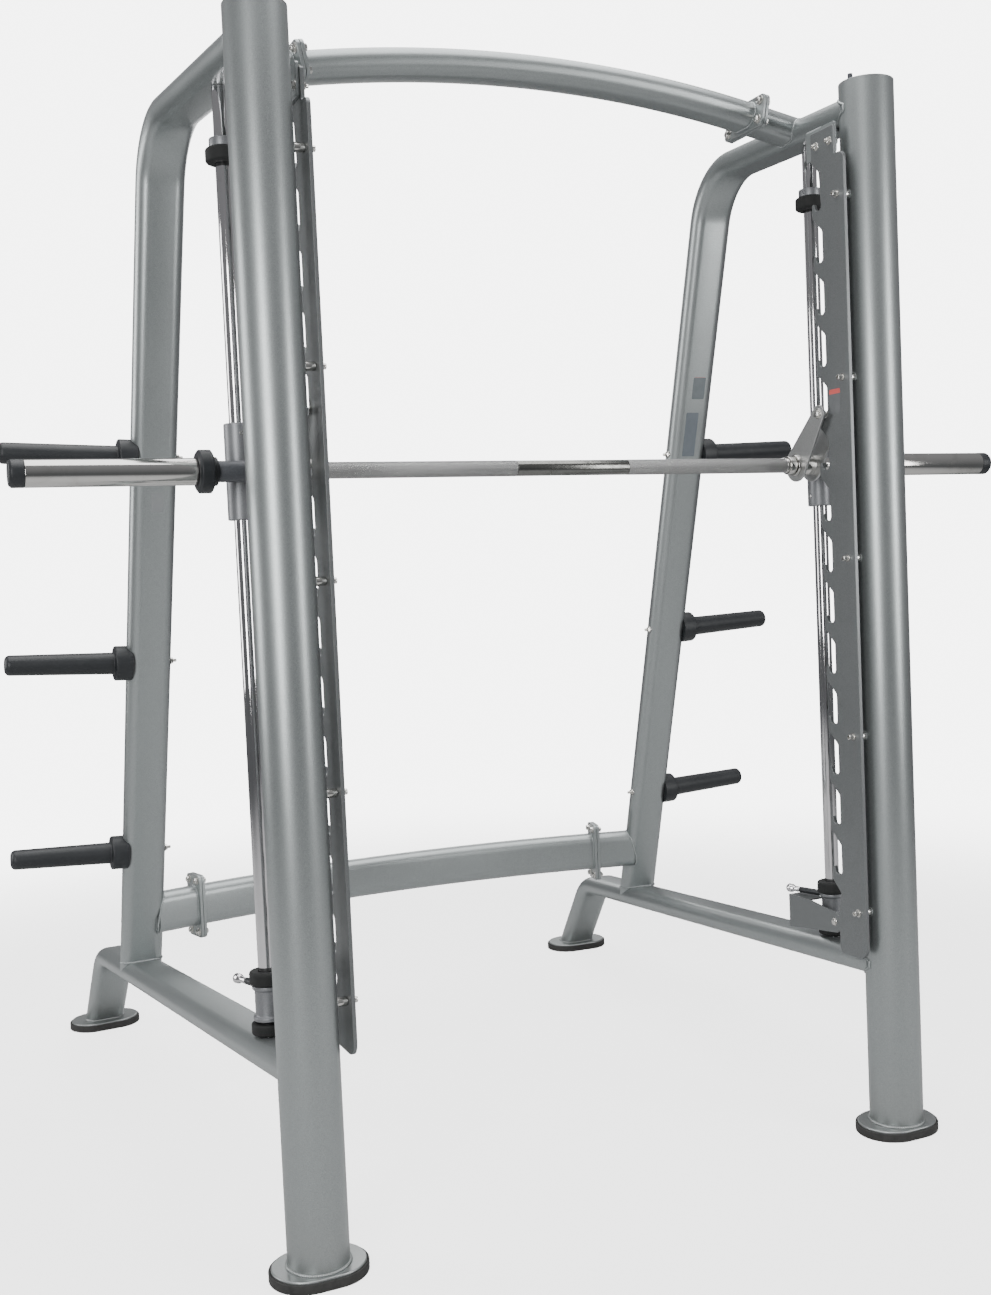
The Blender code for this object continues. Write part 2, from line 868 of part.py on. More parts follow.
def make_stop_bracket(label, side):
    """A cheek beside the rod and a folded top behind it, held to the lug by one pivot bolt."""
    cheek_x = side * 0.6265
    pivot_y = 0.150
    pivot_z = 0.433
    points = [(0.322, 0.386), (0.322, 0.4645), (0.262, 0.4655), (0.225, 0.4630), (0.190, 0.4575)]
    for i in range(9):
        angle = math.radians(75 + 200 * i / 8)
        points.append((pivot_y + 0.0225 * math.cos(angle), pivot_z + 0.0225 * math.sin(angle)))
    points += [(0.200, 0.4000)]
    cheek = outline(f"{label}_stop_bracket", "plate", points, 0.004)
    stand_across(cheek, cheek_x)
    top = block(
        f"{label}_bracket_top",
        "plate",
        (min(side * 0.625, side * 0.672), 0.2495, 0.4607),
        (max(side * 0.625, side * 0.672), 0.322, 0.4645),
    )
    bolt = cylinder(
        f"{label}_bracket_bolt",
        "plate",
        0.0085,
        (side * 0.627, pivot_y, pivot_z),
        (side * 0.6205, pivot_y, pivot_z),
        12,
    )
    join(cheek, as_tool(top))
    join(cheek, as_tool(bolt))


def make_knob(label, side, body):
    """A sprung plunger: a sleeve on the body, and the chrome knob that pulls out of it."""
    across, back, reach = KNOBS[label]
    start = Vector((side * ROD_X, ROD_Y, 0.4751))
    direction = Vector((across, back, 0)).normalized()
    sleeve = cylinder(
        f"{label}_knob_sleeve",
        "dark",
        0.0068,
        start + direction * 0.022,
        start + direction * (reach - GAP),
        12,
    )
    hole = cylinder(
        f"{label}_knob_hole",
        "dark",
        0.0040,
        start + direction * (reach - 0.030),
        start + direction * (reach + 0.010),
        12,
    )
    join(body, as_tool(sleeve))
    cut(body, as_tool(hole))
    turned(
        f"{label}_stop_knob",
        "chrome",
        [
            (0, 0.038),
            (0.0065, 0.037),
            (0.0092, 0.034),
            (0.0100, 0.028),
            (0.0092, 0.022),
            (0.007, 0.018),
            (0.0065, 0.0005),
            (0.0036, 0.0005),
            (0.0036, -0.028),
            (0, -0.028),
        ],
        start + direction * reach,
        direction,
        segments=12,
    )


clear_scene()
PARTS = new_collection("smith_machine")
TOOLS = new_collection("cutters", hidden=True)
FINISHES = {
    "paint": ((0.42, 0.44, 0.44), 0.42, 0.65),
    "plate": ((0.34, 0.35, 0.36), 0.45, 0.70),
    "dark": ((0.17, 0.17, 0.18), 0.48, 0.40),
    "chrome": ((0.80, 0.80, 0.80), 0.12, 1.0),
    "rubber": ((0.018, 0.020, 0.020), 0.70, 0.0),
    "plastic": ((0.025, 0.027, 0.028), 0.45, 0.0),
}
BOLT_HEIGHTS = [0.490 + 0.3825 * i for i in range(5)]
KNOBS = {"left": (-0.35, 0.94, 0.0705), "right": (-0.286, 0.958, 0.091)}

TOP_BAR = {"end_x": 0.523, "end_y": 0.239, "z": 2.243, "bow": 0.047, "towards": (0, 0, 1)}
LOW_BAR = {"end_x": 0.590, "end_y": 1.238, "z": 0.424, "bow": 0.068, "towards": (0, 1, 0)}
TOP_FLANGE = (0.146, 0.072)
LOW_FLANGE = (0.076, 0.164)
TOP_BOLTS = [(u, v) for u in (-0.057, 0.057) for v in (-0.021, 0.021)]
LOW_BOLTS = [(u, v) for u in (-0.022, 0.022) for v in (-0.067, 0.067)]
top_section = stadium(0.090, 0.054)
low_section = turn_section(stadium(OVAL_WIDTH, OVAL_DEPTH))

make_crossbar("top_crossbar", TOP_BAR, top_section, TOP_FLANGE, TOP_BOLTS)
make_crossbar("lower_crossbar", LOW_BAR, low_section, LOW_FLANGE, LOW_BOLTS)
make_bar()
for side_label, side_sign in SIDES.items():
    make_column(side_label, side_sign)
    make_column_cap(side_label, side_sign)
    make_foot(f"{side_label}_front", side_sign, side_sign * COLUMN_X, 0.0, 0.176, 0.136, 0.0)
    make_foot(
        f"{side_label}_rear",
        side_sign,
        side_sign * (SIDE_X + SIDE_SPLAY * REAR_FOOT_Y),
        REAR_FOOT_Y,
        0.186,
        0.124,
        -side_sign * SIDE_SPLAY,
    )
    upright_tool = make_side_frame(side_label, side_sign)
    make_stub(
        side_label,
        side_sign,
        "top_stub",
        TOP_BAR,
        top_section,
        TOP_FLANGE,
        TOP_BOLTS,
        0.130,
        upright_tool,
    )
    make_stub(
        side_label,
        side_sign,
        "lower_stub",
        LOW_BAR,
        low_section,
        LOW_FLANGE,
        LOW_BOLTS,
        0.130,
        upright_tool,
    )
    for level_name, level_z in HORN_HEIGHTS.items():
        make_horn(side_label, side_sign, level_name, level_z, upright_tool)
    make_rod_set(side_label, side_sign)
    make_catch(side_label, side_sign)
    make_carriage(side_label, side_sign)
    make_bar_end(side_label, side_sign)
    make_hook(side_label, side_sign)
    make_stop(side_label, side_sign)

for placed in bpy.data.objects:
    placed.location.y -= CENTRE_Y
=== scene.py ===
import json
import math

import bmesh
import bpy
import numpy as np
from mathutils import Matrix, Vector

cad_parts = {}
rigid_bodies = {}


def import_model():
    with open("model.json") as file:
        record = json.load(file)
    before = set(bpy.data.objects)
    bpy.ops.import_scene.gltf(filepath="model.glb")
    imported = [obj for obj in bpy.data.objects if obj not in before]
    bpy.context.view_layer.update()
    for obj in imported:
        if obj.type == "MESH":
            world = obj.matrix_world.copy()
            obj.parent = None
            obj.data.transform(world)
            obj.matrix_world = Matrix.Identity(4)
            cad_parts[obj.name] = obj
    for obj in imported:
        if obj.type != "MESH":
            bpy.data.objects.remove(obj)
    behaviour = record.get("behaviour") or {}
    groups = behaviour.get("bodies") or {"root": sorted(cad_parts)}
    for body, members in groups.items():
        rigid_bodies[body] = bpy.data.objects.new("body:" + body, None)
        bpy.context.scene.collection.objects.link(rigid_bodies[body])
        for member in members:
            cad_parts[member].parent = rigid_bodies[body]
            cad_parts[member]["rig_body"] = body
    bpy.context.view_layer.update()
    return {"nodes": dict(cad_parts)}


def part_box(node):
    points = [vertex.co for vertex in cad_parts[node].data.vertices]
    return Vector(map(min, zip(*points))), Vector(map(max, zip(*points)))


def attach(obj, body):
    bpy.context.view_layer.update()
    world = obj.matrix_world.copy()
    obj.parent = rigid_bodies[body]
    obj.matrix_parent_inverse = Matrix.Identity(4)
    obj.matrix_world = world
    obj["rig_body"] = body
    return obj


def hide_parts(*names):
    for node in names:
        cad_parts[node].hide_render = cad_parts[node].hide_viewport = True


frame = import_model()
sides = {"left": -1.0, "right": 1.0}


def boxOf(node):
    low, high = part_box(node)
    return np.array(low), np.array(high)


rodLow, rodHigh = boxOf("right_guide_rod")
rodX = (rodLow[0] + rodHigh[0]) / 2
rodY = (rodLow[1] + rodHigh[1]) / 2
depthShift = rodY - 0.218  # depths below are measured back from the columns' axes
barLow, barHigh = boxOf("bar_shaft")
barY = (barLow[1] + barHigh[1]) / 2 - depthShift
barZ = (barLow[2] + barHigh[2]) / 2
columnPlan = {
    "radius": 0.05715, "wall": 0.003, "rim": 0.0008, "screwHeights": 0.490 + 0.3825 * np.arange(5)
}
columnHigh = boxOf("right_column")[1]
columnX = columnHigh[0] - columnPlan["radius"]
upZ = np.array([0.0, 0.0, 1.0])
print("frame loaded, rods at", round(rodX, 4), "bar at", round(barZ, 4))


def spot(x, y, z):
    return np.array([x, y + depthShift, z])


def unit(vector):
    vector = np.asarray(vector, float)
    return vector / np.linalg.norm(vector, axis=-1, keepdims=True)


def gridFaces(rows, cols, wrapRows, wrapCols):
    # quad (i, j) joins grid points (i, j), (i+1, j), (i+1, j+1), (i, j+1)
    i, j = np.meshgrid(
        np.arange(rows if wrapRows else rows - 1), np.arange(cols if wrapCols else cols - 1), indexing="ij"
    )
    nextI, nextJ = (i + 1) % rows, (j + 1) % cols
    return np.stack(
        [i * cols + j, nextI * cols + j, nextI * cols + nextJ, i * cols + nextJ], -1
    ).reshape(-1, 4).tolist()


def sidesOf(direction):
    # two unit vectors square to the direction and to each other
    direction = unit(direction)
    hint = np.array([0.0, 0.0, 1.0]) if abs(direction[2]) < 0.9 else np.array([0.0, 1.0, 0.0])
    first = unit(np.cross(hint, direction))
    return first, np.cross(direction, first), direction


def ringShape(radii, heights, origin, direction, closed=False):
    # p(i, t) = origin + r(i, t) (cos t first + sin t second) + h(i, t) direction
    first, second, along = sidesOf(direction)
    angles = np.linspace(0, 2 * np.pi, radii.shape[1], endpoint=False)
    points = (
        np.asarray(origin)
        + radii[..., None] * (np.cos(angles)[:, None] * first + np.sin(angles)[:, None] * second)
        + heights[..., None] * along
    )
    return points.reshape(-1, 3), gridFaces(*radii.shape, closed, True)


def turnedShape(profile, origin, direction, segments=64, closed=False):
    # a profile of (radius, height) carried round its axis: p(i, t) as in ringShape, r and h free of t
    profile = np.asarray(profile, float)
    radii = np.repeat(profile[:, :1], segments, 1)
    heights = np.repeat(profile[:, 1:], segments, 1)
    return ringShape(radii, heights, origin, direction, closed)


def roundCorners(points, radius, steps=4, closed=True):
    # each corner becomes an arc that touches both of its edges: v(s) = (sin((1-s)a) v1 + sin(sa) v2) / sin(a)
    points = np.asarray(points, float)
    radius = np.broadcast_to(np.asarray(radius, float), len(points)).copy()
    before, after = np.roll(points, 1, 0) - points, np.roll(points, -1, 0) - points
    lengths = np.minimum(np.linalg.norm(before, axis=1), np.linalg.norm(after, axis=1)) * 0.49
    before, after = unit(before), unit(after)
    half = np.arccos(np.clip((before * after).sum(1), -0.99999, 0.99999)) / 2
    reach = np.minimum(radius / np.tan(half), lengths)
    radius = reach * np.tan(half)
    centre = points + unit(before + after) * (radius / np.sin(half))[:, None]
    one, two = points + before * reach[:, None] - centre, points + after * reach[:, None] - centre
    sweep = np.pi - 2 * half
    s = np.linspace(0, 1, steps + 1)
    weightOne = np.sin((1 - s) * sweep[:, None]) / np.sin(sweep)[:, None]
    weightTwo = np.sin(s * sweep[:, None]) / np.sin(sweep)[:, None]
    arcs = centre[:, None] + weightOne[..., None] * one[:, None] + weightTwo[..., None] * two[:, None]
    if closed:
        return arcs.reshape(-1, points.shape[1])
    return np.concatenate([points[:1], arcs[1:-1].reshape(-1, points.shape[1]), points[-1:]])


def turnedRing(inner, outer, low, high, edges, steps, origin, direction, segments=64, side=1):
    # a ring between two radii and two heights, its four corners rounded, carried round its axis
    profile = roundCorners([(inner, high), (outer, high), (outer, low), (inner, low)], edges, steps)
    return turnedShape(profile * [1, side], origin, direction, segments, True)


def turnedRod(radius, low, high, edge, origin, direction, segments=64, side=1, steps=3):
    # a solid rod between two heights, with the rims of both ends rounded
    profile = roundCorners(
        [(0, high), (radius, high), (radius, low), (0, low)], [0, edge, edge, 0], steps, False
    )
    return turnedShape(profile * [1, side], origin, direction, segments)


def stadium(width, depth, steps=14):
    # two half circles of radius depth / 2, their centres width - depth apart
    angles = np.radians(np.concatenate([np.linspace(-90, 90, steps + 1), np.linspace(90, 270, steps + 1)]))
    push = np.repeat([1.0, -1.0], steps + 1) * (width - depth) / 2
    return np.stack([push + depth / 2 * np.cos(angles), depth / 2 * np.sin(angles)], 1)


def roundedRectangle(width, height, radius, steps=5):
    # four corners at (+-width / 2, +-height / 2), each rounded to an arc
    corners = np.array([[1, -1], [1, 1], [-1, 1], [-1, -1]]) * [width / 2, height / 2]
    return roundCorners(corners, radius, steps)


def alongPath(path, closed=False):
    # unit tangents, the level vector square to each, and the third vector of the frame
    path = np.asarray(path, float)
    if closed:
        tangent = np.roll(path, -1, 0) - np.roll(path, 1, 0)
    else:
        tangent = np.gradient(path, axis=0)
        tangent[0], tangent[-1] = path[1] - path[0], path[-1] - path[-2]
    tangent = unit(tangent)
    level = unit(np.cross(upZ, tangent))
    return tangent, level, np.cross(tangent, level)


def sweptShape(path, section, endZ=None):
    # p(i, j) = path(i) + a(j) level(i) + b(j) rise(i), with its ends closed
    path = np.asarray(path, float)
    tangent, level, rise = alongPath(path)
    points = path[:, None] + section[None, :, :1] * level[:, None] + section[None, :, 1:] * rise[:, None]
    if endZ is not None:
        last = points[-1]
        points[-1] = last + tangent[-1] * ((endZ - last[:, 2:]) / tangent[-1][2])
    rows, cols = points.shape[:2]
    faces = gridFaces(rows, cols, False, True)
    faces += [list(range(cols))[::-1], list(range((rows - 1) * cols, rows * cols))]
    return points.reshape(-1, 3), faces


def plateShape(outline, thickness, origin, across, rise):
    # p = origin + a(j) across + b(j) rise -+ (thickness / 2) normal, the outline (a, b) filled at both faces
    outline = np.asarray(outline, float)
    across, rise = unit(across), unit(rise)
    normal = np.cross(across, rise)
    flat = np.asarray(origin) + outline[:, :1] * across + outline[:, 1:] * rise
    points = np.concatenate([flat - normal * thickness / 2, flat + normal * thickness / 2])
    count = len(outline)
    faces = gridFaces(2, count, False, True) + [list(range(count))[::-1], list(range(count, 2 * count))]
    return points, faces


def beadShape(loop, radius, ripple=0.14, pitch=0.0042):
    # a closed bead: circles of radius r (1 + ripple cos(2 pi s / pitch)) carried along the loop
    loop = np.asarray(loop, float)
    steps = np.linalg.norm(np.roll(loop, -1, 0) - loop, axis=1)
    start = np.concatenate([[0], np.cumsum(steps)])
    count = max(int(start[-1] / pitch) * 4, 24)
    where = np.linspace(0, start[-1], count, endpoint=False)
    closedLoop = np.concatenate([loop, loop[:1]])
    path = np.stack([np.interp(where, start, closedLoop[:, axis]) for axis in range(3)], 1)
    tangent = unit(np.roll(path, -1, 0) - np.roll(path, 1, 0))
    middle = path.mean(0)
    outwards = path - middle
    outwards = unit(outwards - (outwards * tangent).sum(1, keepdims=True) * tangent)
    third = np.cross(tangent, outwards)
    size = radius * (1 + ripple * np.cos(2 * np.pi * where / pitch))
    turn = np.linspace(0, 2 * np.pi, 8, endpoint=False)
    ring = np.cos(turn)[None, :, None] * outwards[:, None] + np.sin(turn)[None, :, None] * third[:, None]
    points = path[:, None] + size[:, None, None] * ring
    return points.reshape(-1, 3), gridFaces(count, 8, True, True)


def hexRadius(flats, segments):
    # r(t) = (flats / 2) / cos(u), u the angle from the nearest flat's middle
    angles = np.linspace(0, 2 * np.pi, segments, endpoint=False)
    return flats / 2 / np.cos((angles + np.pi / 6) % (np.pi / 3) - np.pi / 6)


def hexHead(origin, direction, flats=0.013, height=0.0055, washer=0.010):
    # a washer, a hexagon with its corners turned off, and a slightly sunken top
    hexagon = hexRadius(flats, 36)
    chamfer = (hexagon - flats / 2 * 0.94) * 0.55
    flat = np.ones(36)
    radii = np.stack(
        [
            flat * 0, flat * washer, flat * washer, flat * washer * 0.97, hexagon, hexagon,
            flat * flats / 2 * 0.94, flat * 0,
        ]
    )
    heights = np.stack(
        [
            flat * 0, flat * 0, flat * 0.0012, flat * 0.0015, flat * 0.0015, height - chamfer,
            flat * height, flat * height,
        ]
    )
    return ringShape(radii, heights, origin, direction)


def boltEnd(origin, direction, radius=0.0045, length=0.009):
    # a nut's threaded end with fine rings
    rings = np.arange(0, int(length / 0.0007))
    heights = np.repeat(rings * 0.0007, 2)[1:]
    radii = np.where(np.arange(len(heights)) % 2, radius, radius * 0.90)
    profile = np.stack([radii, heights], 1)
    profile = np.concatenate([[[0, 0]], profile, [[radius * 0.7, length], [0, length]]])
    return turnedShape(profile, origin, direction, 20)


def socketScrew(origin, direction, radius=0.0068, height=0.0085, socket=0.006):
    # a round head with a rounded rim and a hexagon socket
    hexagon = hexRadius(socket, 36)
    flat = np.ones(36)
    radii = np.stack(
        [
            flat * 0, flat * radius, flat * radius, flat * (radius - 0.0003), flat * (radius - 0.001),
            hexagon, hexagon, flat * 0,
        ]
    )
    heights = np.stack(
        [
            flat * 0, flat * 0, flat * (height - 0.001), flat * (height - 0.0003), flat * height,
            flat * height, flat * (height - 0.004), flat * (height - 0.0042),
        ]
    )
    return ringShape(radii, heights, origin, direction)


def meetCylinder(origins, direction, point, axis, radius):
    # first point along each line that lies on a round tube: |w - (w.a)a| = radius, the root nearer the start
    direction, axis = unit(direction), unit(axis)
    w = origins - point
    wSide = w - (w @ axis)[:, None] * axis
    dSide = direction - (direction @ axis) * axis
    a = dSide @ dSide
    b = wSide @ dSide
    c = (wSide * wSide).sum(1) - radius**2
    travel = (-b - np.sqrt(np.maximum(b * b - a * c, 0))) / a
    return origins + travel[:, None] * direction


def meetPlane(origins, direction, point, normal):
    # the point along each line where (p - point) . normal = 0
    direction = unit(direction)
    travel = ((point - origins) @ normal) / (direction @ normal)
    return origins + travel[:, None] * direction


def addPiece(name, shapes, like, material, stands=(), bevel=0.0, sharp=38.0, bevelSteps=2):
    # joins shapes into one mesh, closes its seams, gives it the body of a CAD node, and hides the CAD nodes
    # it stands in for
    points, faces, offset = [], [], 0
    for shapePoints, shapeFaces in shapes:
        points.append(shapePoints)
        faces += [[index + offset for index in face] for face in shapeFaces]
        offset += len(shapePoints)
    mesh = bpy.data.meshes.new(name)
    mesh.from_pydata(np.concatenate(points).tolist(), [], faces)
    edit = bmesh.new()
    edit.from_mesh(mesh)
    bmesh.ops.remove_doubles(edit, verts=edit.verts, dist=2e-6)
    bmesh.ops.recalc_face_normals(edit, faces=edit.faces)
    edit.to_mesh(mesh)
    edit.free()
    mesh.shade_smooth()
    mesh.set_sharp_from_angle(angle=math.radians(sharp))
    mesh.materials.append(material)
    piece = bpy.data.objects.new(name, mesh)
    bpy.context.scene.collection.objects.link(piece)
    if bevel:
        edges = piece.modifiers.new("edges", "BEVEL")
        edges.width = bevel
        edges.segments = bevelSteps
        edges.limit_method = "ANGLE"
        edges.angle_limit = math.radians(50)
        edges.harden_normals = True
    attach(piece, frame["nodes"][like]["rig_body"])
    if stands:
        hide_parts(*stands)
    return piece


def newGroup(name, inputs, outputs):
    group = bpy.data.node_groups.new(name, "ShaderNodeTree")
    for label, kind, value in inputs:
        socket = group.interface.new_socket(name=label, in_out="INPUT", socket_type=kind)
        if value is not None:
            socket.default_value = value
    for label, kind in outputs:
        group.interface.new_socket(name=label, in_out="OUTPUT", socket_type=kind)
    return group, group.nodes.new("NodeGroupInput"), group.nodes.new("NodeGroupOutput")


def addNode(tree, kind, settings=None, values=None):
    node = tree.nodes.new(kind)
    for key, value in (settings or {}).items():
        setattr(node, key, value)
    for key, value in (values or {}).items():
        node.inputs[key].default_value = value
    return node


def makeCloudGroup():
    # soft uneven tone: broad clouds plus fine specks, both 0 to 1
    group, inside, outside = newGroup(
        "coatClouds",
        [
            ("Vector", "NodeSocketVector", None), ("Broad Scale", "NodeSocketFloat", 3.0),
            ("Fine Scale", "NodeSocketFloat", 700.0),
        ],
        [("Clouds", "NodeSocketFloat"), ("Specks", "NodeSocketFloat")],
    )
    broad = addNode(group, "ShaderNodeTexNoise", values={"Detail": 3.0, "Roughness": 0.55})
    fine = addNode(group, "ShaderNodeTexNoise", values={"Detail": 2.0, "Roughness": 0.6})
    group.links.new(inside.outputs["Vector"], broad.inputs["Vector"])
    group.links.new(inside.outputs["Vector"], fine.inputs["Vector"])
    group.links.new(inside.outputs["Broad Scale"], broad.inputs["Scale"])
    group.links.new(inside.outputs["Fine Scale"], fine.inputs["Scale"])
    group.links.new(broad.outputs["Fac"], outside.inputs["Clouds"])
    group.links.new(fine.outputs["Fac"], outside.inputs["Specks"])
    return group


def makeSmudgeGroup():
    # handling marks: stretched noise, cut so that only its high parts show
    group, inside, outside = newGroup(
        "handlingMarks",
        [
            ("Vector", "NodeSocketVector", None), ("Scale", "NodeSocketFloat", 14.0),
            ("Cover", "NodeSocketFloat", 0.55),
        ],
        [("Mask", "NodeSocketFloat")],
    )
    noise = addNode(
        group, "ShaderNodeTexNoise", values={"Detail": 6.0, "Roughness": 0.65, "Distortion": 0.6}
    )
    cut = addNode(group, "ShaderNodeMapRange", {"interpolation_type": "SMOOTHSTEP"}, {"From Max": 0.85})
    group.links.new(inside.outputs["Vector"], noise.inputs["Vector"])
    group.links.new(inside.outputs["Scale"], noise.inputs["Scale"])
    group.links.new(noise.outputs["Fac"], cut.inputs["Value"])
    group.links.new(inside.outputs["Cover"], cut.inputs["From Min"])
    group.links.new(cut.outputs["Result"], outside.inputs["Mask"])
    return group


def makeDustGroup():
    # settled dust: strongest at the floor and gone at the given height, broken up by noise
    group, inside, outside = newGroup(
        "floorDust",
        [("Vector", "NodeSocketVector", None), ("Height", "NodeSocketFloat", 0.25)],
        [("Mask", "NodeSocketFloat")],
    )
    split = addNode(group, "ShaderNodeSeparateXYZ")
    fade = addNode(
        group, "ShaderNodeMapRange", {"interpolation_type": "SMOOTHSTEP"},
        {"From Min": 0.0, "To Min": 1.0, "To Max": 0.0},
    )
    noise = addNode(group, "ShaderNodeTexNoise", values={"Scale": 60.0, "Detail": 5.0, "Roughness": 0.7})
    product = addNode(group, "ShaderNodeMath", {"operation": "MULTIPLY"})
    group.links.new(inside.outputs["Vector"], split.inputs["Vector"])
    group.links.new(split.outputs["Z"], fade.inputs["Value"])
    group.links.new(inside.outputs["Height"], fade.inputs["From Max"])
    group.links.new(inside.outputs["Vector"], noise.inputs["Vector"])
    group.links.new(fade.outputs["Result"], product.inputs[0])
    group.links.new(noise.outputs["Fac"], product.inputs[1])
    group.links.new(product.outputs["Value"], outside.inputs["Mask"])
    return group


clouds = makeCloudGroup()
smudges = makeSmudgeGroup()
dust = makeDustGroup()


def startMaterial(name, metallic, specular=0.5):
    material = bpy.data.materials.new(name)
    material.use_nodes = True
    tree = material.node_tree
    shader = tree.nodes["Principled BSDF"]
    shader.inputs["Metallic"].default_value = metallic
    shader.inputs["Specular IOR Level"].default_value = specular
    where = addNode(tree, "ShaderNodeTexCoord")
    return material, tree, shader, where.outputs["Object"]


def groupNode(tree, group, vector, values):
    node = addNode(tree, "ShaderNodeGroup", {"node_tree": group}, values)
    tree.links.new(vector, node.inputs["Vector"])
    return node


def mixColour(tree, factor, first, second):
    # a colour mix whose ends are colours or sockets
    node = addNode(tree, "ShaderNodeMix", {"data_type": "RGBA"})
    tree.links.new(factor, node.inputs["Factor"])
    for index, value in ((6, first), (7, second)):
        if isinstance(value, tuple):
            node.inputs[index].default_value = (*value, 1.0)
        else:
            tree.links.new(value, node.inputs[index])
    return node.outputs[2]


def mapRange(tree, value, fromMin, fromMax, toMin, toMax):
    node = addNode(
        tree, "ShaderNodeMapRange", {},
        {"From Min": fromMin, "From Max": fromMax, "To Min": toMin, "To Max": toMax},
    )
    tree.links.new(value, node.inputs["Value"])
    return node.outputs["Result"]


def addBump(tree, shader, height, strength, distance):
    bump = addNode(tree, "ShaderNodeBump", values={"Strength": strength, "Distance": distance})
    tree.links.new(height, bump.inputs["Height"])
    tree.links.new(bump.outputs["Normal"], shader.inputs["Normal"])


def coatMaterial(name, look):
    # metallic powder coat: specks of flake, faint clouds, a light orange peel and dust near the floor
    material, tree, shader, vector = startMaterial(name, look["metallic"])
    grain = groupNode(tree, clouds, vector, {"Broad Scale": look["broad"], "Fine Scale": look["fine"]})
    base = mixColour(
        tree, mapRange(tree, grain.outputs["Specks"], 0.35, 0.65, 0, 1), look["dark"], look["light"]
    )
    tone = mixColour(
        tree, mapRange(tree, grain.outputs["Clouds"], 0.3, 0.7, 0, look["patch"]), base, look["cloud"]
    )
    low = groupNode(tree, dust, vector, {"Height": look["dustHeight"]})
    final = mixColour(tree, mapRange(tree, low.outputs["Mask"], 0, 1, 0, 0.35), tone, look["dustColour"])
    tree.links.new(final, shader.inputs["Base Color"])
    tree.links.new(
        mapRange(tree, grain.outputs["Clouds"], 0.2, 0.8, *look["roughness"]), shader.inputs["Roughness"]
    )
    peel = addNode(tree, "ShaderNodeTexNoise", values={"Scale": look["peelScale"], "Detail": 2.0})
    tree.links.new(vector, peel.inputs["Vector"])
    addBump(tree, shader, peel.outputs["Fac"], look["peel"], 0.0004)
    shader.inputs["Coat Weight"].default_value = look["coat"]
    shader.inputs["Coat Roughness"].default_value = 0.22
    return material


def chromeMaterial(name, look):
    # polished plate: fine turning lines across the axis, and handling marks that dull it
    material, tree, shader, vector = startMaterial(name, 1.0)
    marks = groupNode(tree, smudges, vector, {"Scale": look["markScale"], "Cover": 0.45})
    colour = mixColour(tree, marks.outputs["Mask"], look["colour"], look["dull"])
    tree.links.new(colour, shader.inputs["Base Color"])
    tree.links.new(
        mapRange(tree, marks.outputs["Mask"], 0, 1, *look["roughness"]), shader.inputs["Roughness"]
    )
    stretch = addNode(tree, "ShaderNodeMapping", values={"Scale": look["lines"]})
    tree.links.new(vector, stretch.inputs["Vector"])
    lines = addNode(tree, "ShaderNodeTexNoise", values={"Scale": 1.0, "Detail": 2.0})
    tree.links.new(stretch.outputs["Vector"], lines.inputs["Vector"])
    addBump(tree, shader, lines.outputs["Fac"], look["lineDepth"], 0.0002)
    return material


def knurlMaterial(name, look):
    # crossed grooves: height = |sin k(x + ra)| |sin k(x - ra)|, a the angle round the bar and r its radius
    material, tree, shader, vector = startMaterial(name, 1.0)
    split = addNode(tree, "ShaderNodeSeparateXYZ")
    shift = addNode(tree, "ShaderNodeMapping", values={"Location": (0.0, -(barY + depthShift), -barZ)})
    tree.links.new(vector, shift.inputs["Vector"])
    tree.links.new(shift.outputs["Vector"], split.inputs["Vector"])

    def maths(operation, first, second=None):
        node = addNode(tree, "ShaderNodeMath", {"operation": operation})
        for index, value in enumerate((first, second)):
            if isinstance(value, (int, float)):
                node.inputs[index].default_value = value
            elif value is not None:
                tree.links.new(value, node.inputs[index])
        return node.outputs[0]

    angle = maths("ARCTAN2", split.outputs["Y"], split.outputs["Z"])
    around = maths("MULTIPLY", angle, look["turns"] / 2)
    alongBar = maths("MULTIPLY", split.outputs["X"], look["turns"] / 2 / look["radius"])
    one = maths("ABSOLUTE", maths("SINE", maths("ADD", alongBar, around)))
    two = maths("ABSOLUTE", maths("SINE", maths("SUBTRACT", alongBar, around)))
    diamonds = maths("MULTIPLY", one, two)
    # the base colour darkens towards the groove colour down in the grooves: painted shade in the knurl's
    # recesses
    tree.links.new(mixColour(tree, diamonds, look["grooveShade"], look["colour"]), shader.inputs["Base Color"])
    tree.links.new(mapRange(tree, diamonds, 0, 1, 0.42, 0.20), shader.inputs["Roughness"])
    addBump(tree, shader, diamonds, 0.8, 0.0006)
    return material


def blackMaterial(name, look):
    # rubber or moulded plastic: a fine pebble, faint clouds and a little dust
    material, tree, shader, vector = startMaterial(name, 0.0, look["specular"])
    grain = groupNode(tree, clouds, vector, {"Broad Scale": look["broad"], "Fine Scale": look["fine"]})
    marks = groupNode(tree, smudges, vector, {"Scale": 18.0, "Cover": 0.5})
    tone = mixColour(tree, grain.outputs["Clouds"], look["dark"], look["light"])
    tone = mixColour(
        tree, mapRange(tree, marks.outputs["Mask"], 0, 1, 0, look["marks"]), tone, look["rubbed"]
    )
    low = groupNode(tree, dust, vector, {"Height": 0.10})
    final = mixColour(tree, mapRange(tree, low.outputs["Mask"], 0, 1, 0, 0.25), tone, (0.20, 0.19, 0.18))
    tree.links.new(final, shader.inputs["Base Color"])
    tree.links.new(
        mapRange(tree, grain.outputs["Clouds"], 0.2, 0.8, *look["roughness"]), shader.inputs["Roughness"]
    )
    addBump(tree, shader, grain.outputs["Specks"], look["pebble"], 0.0003)
    return material


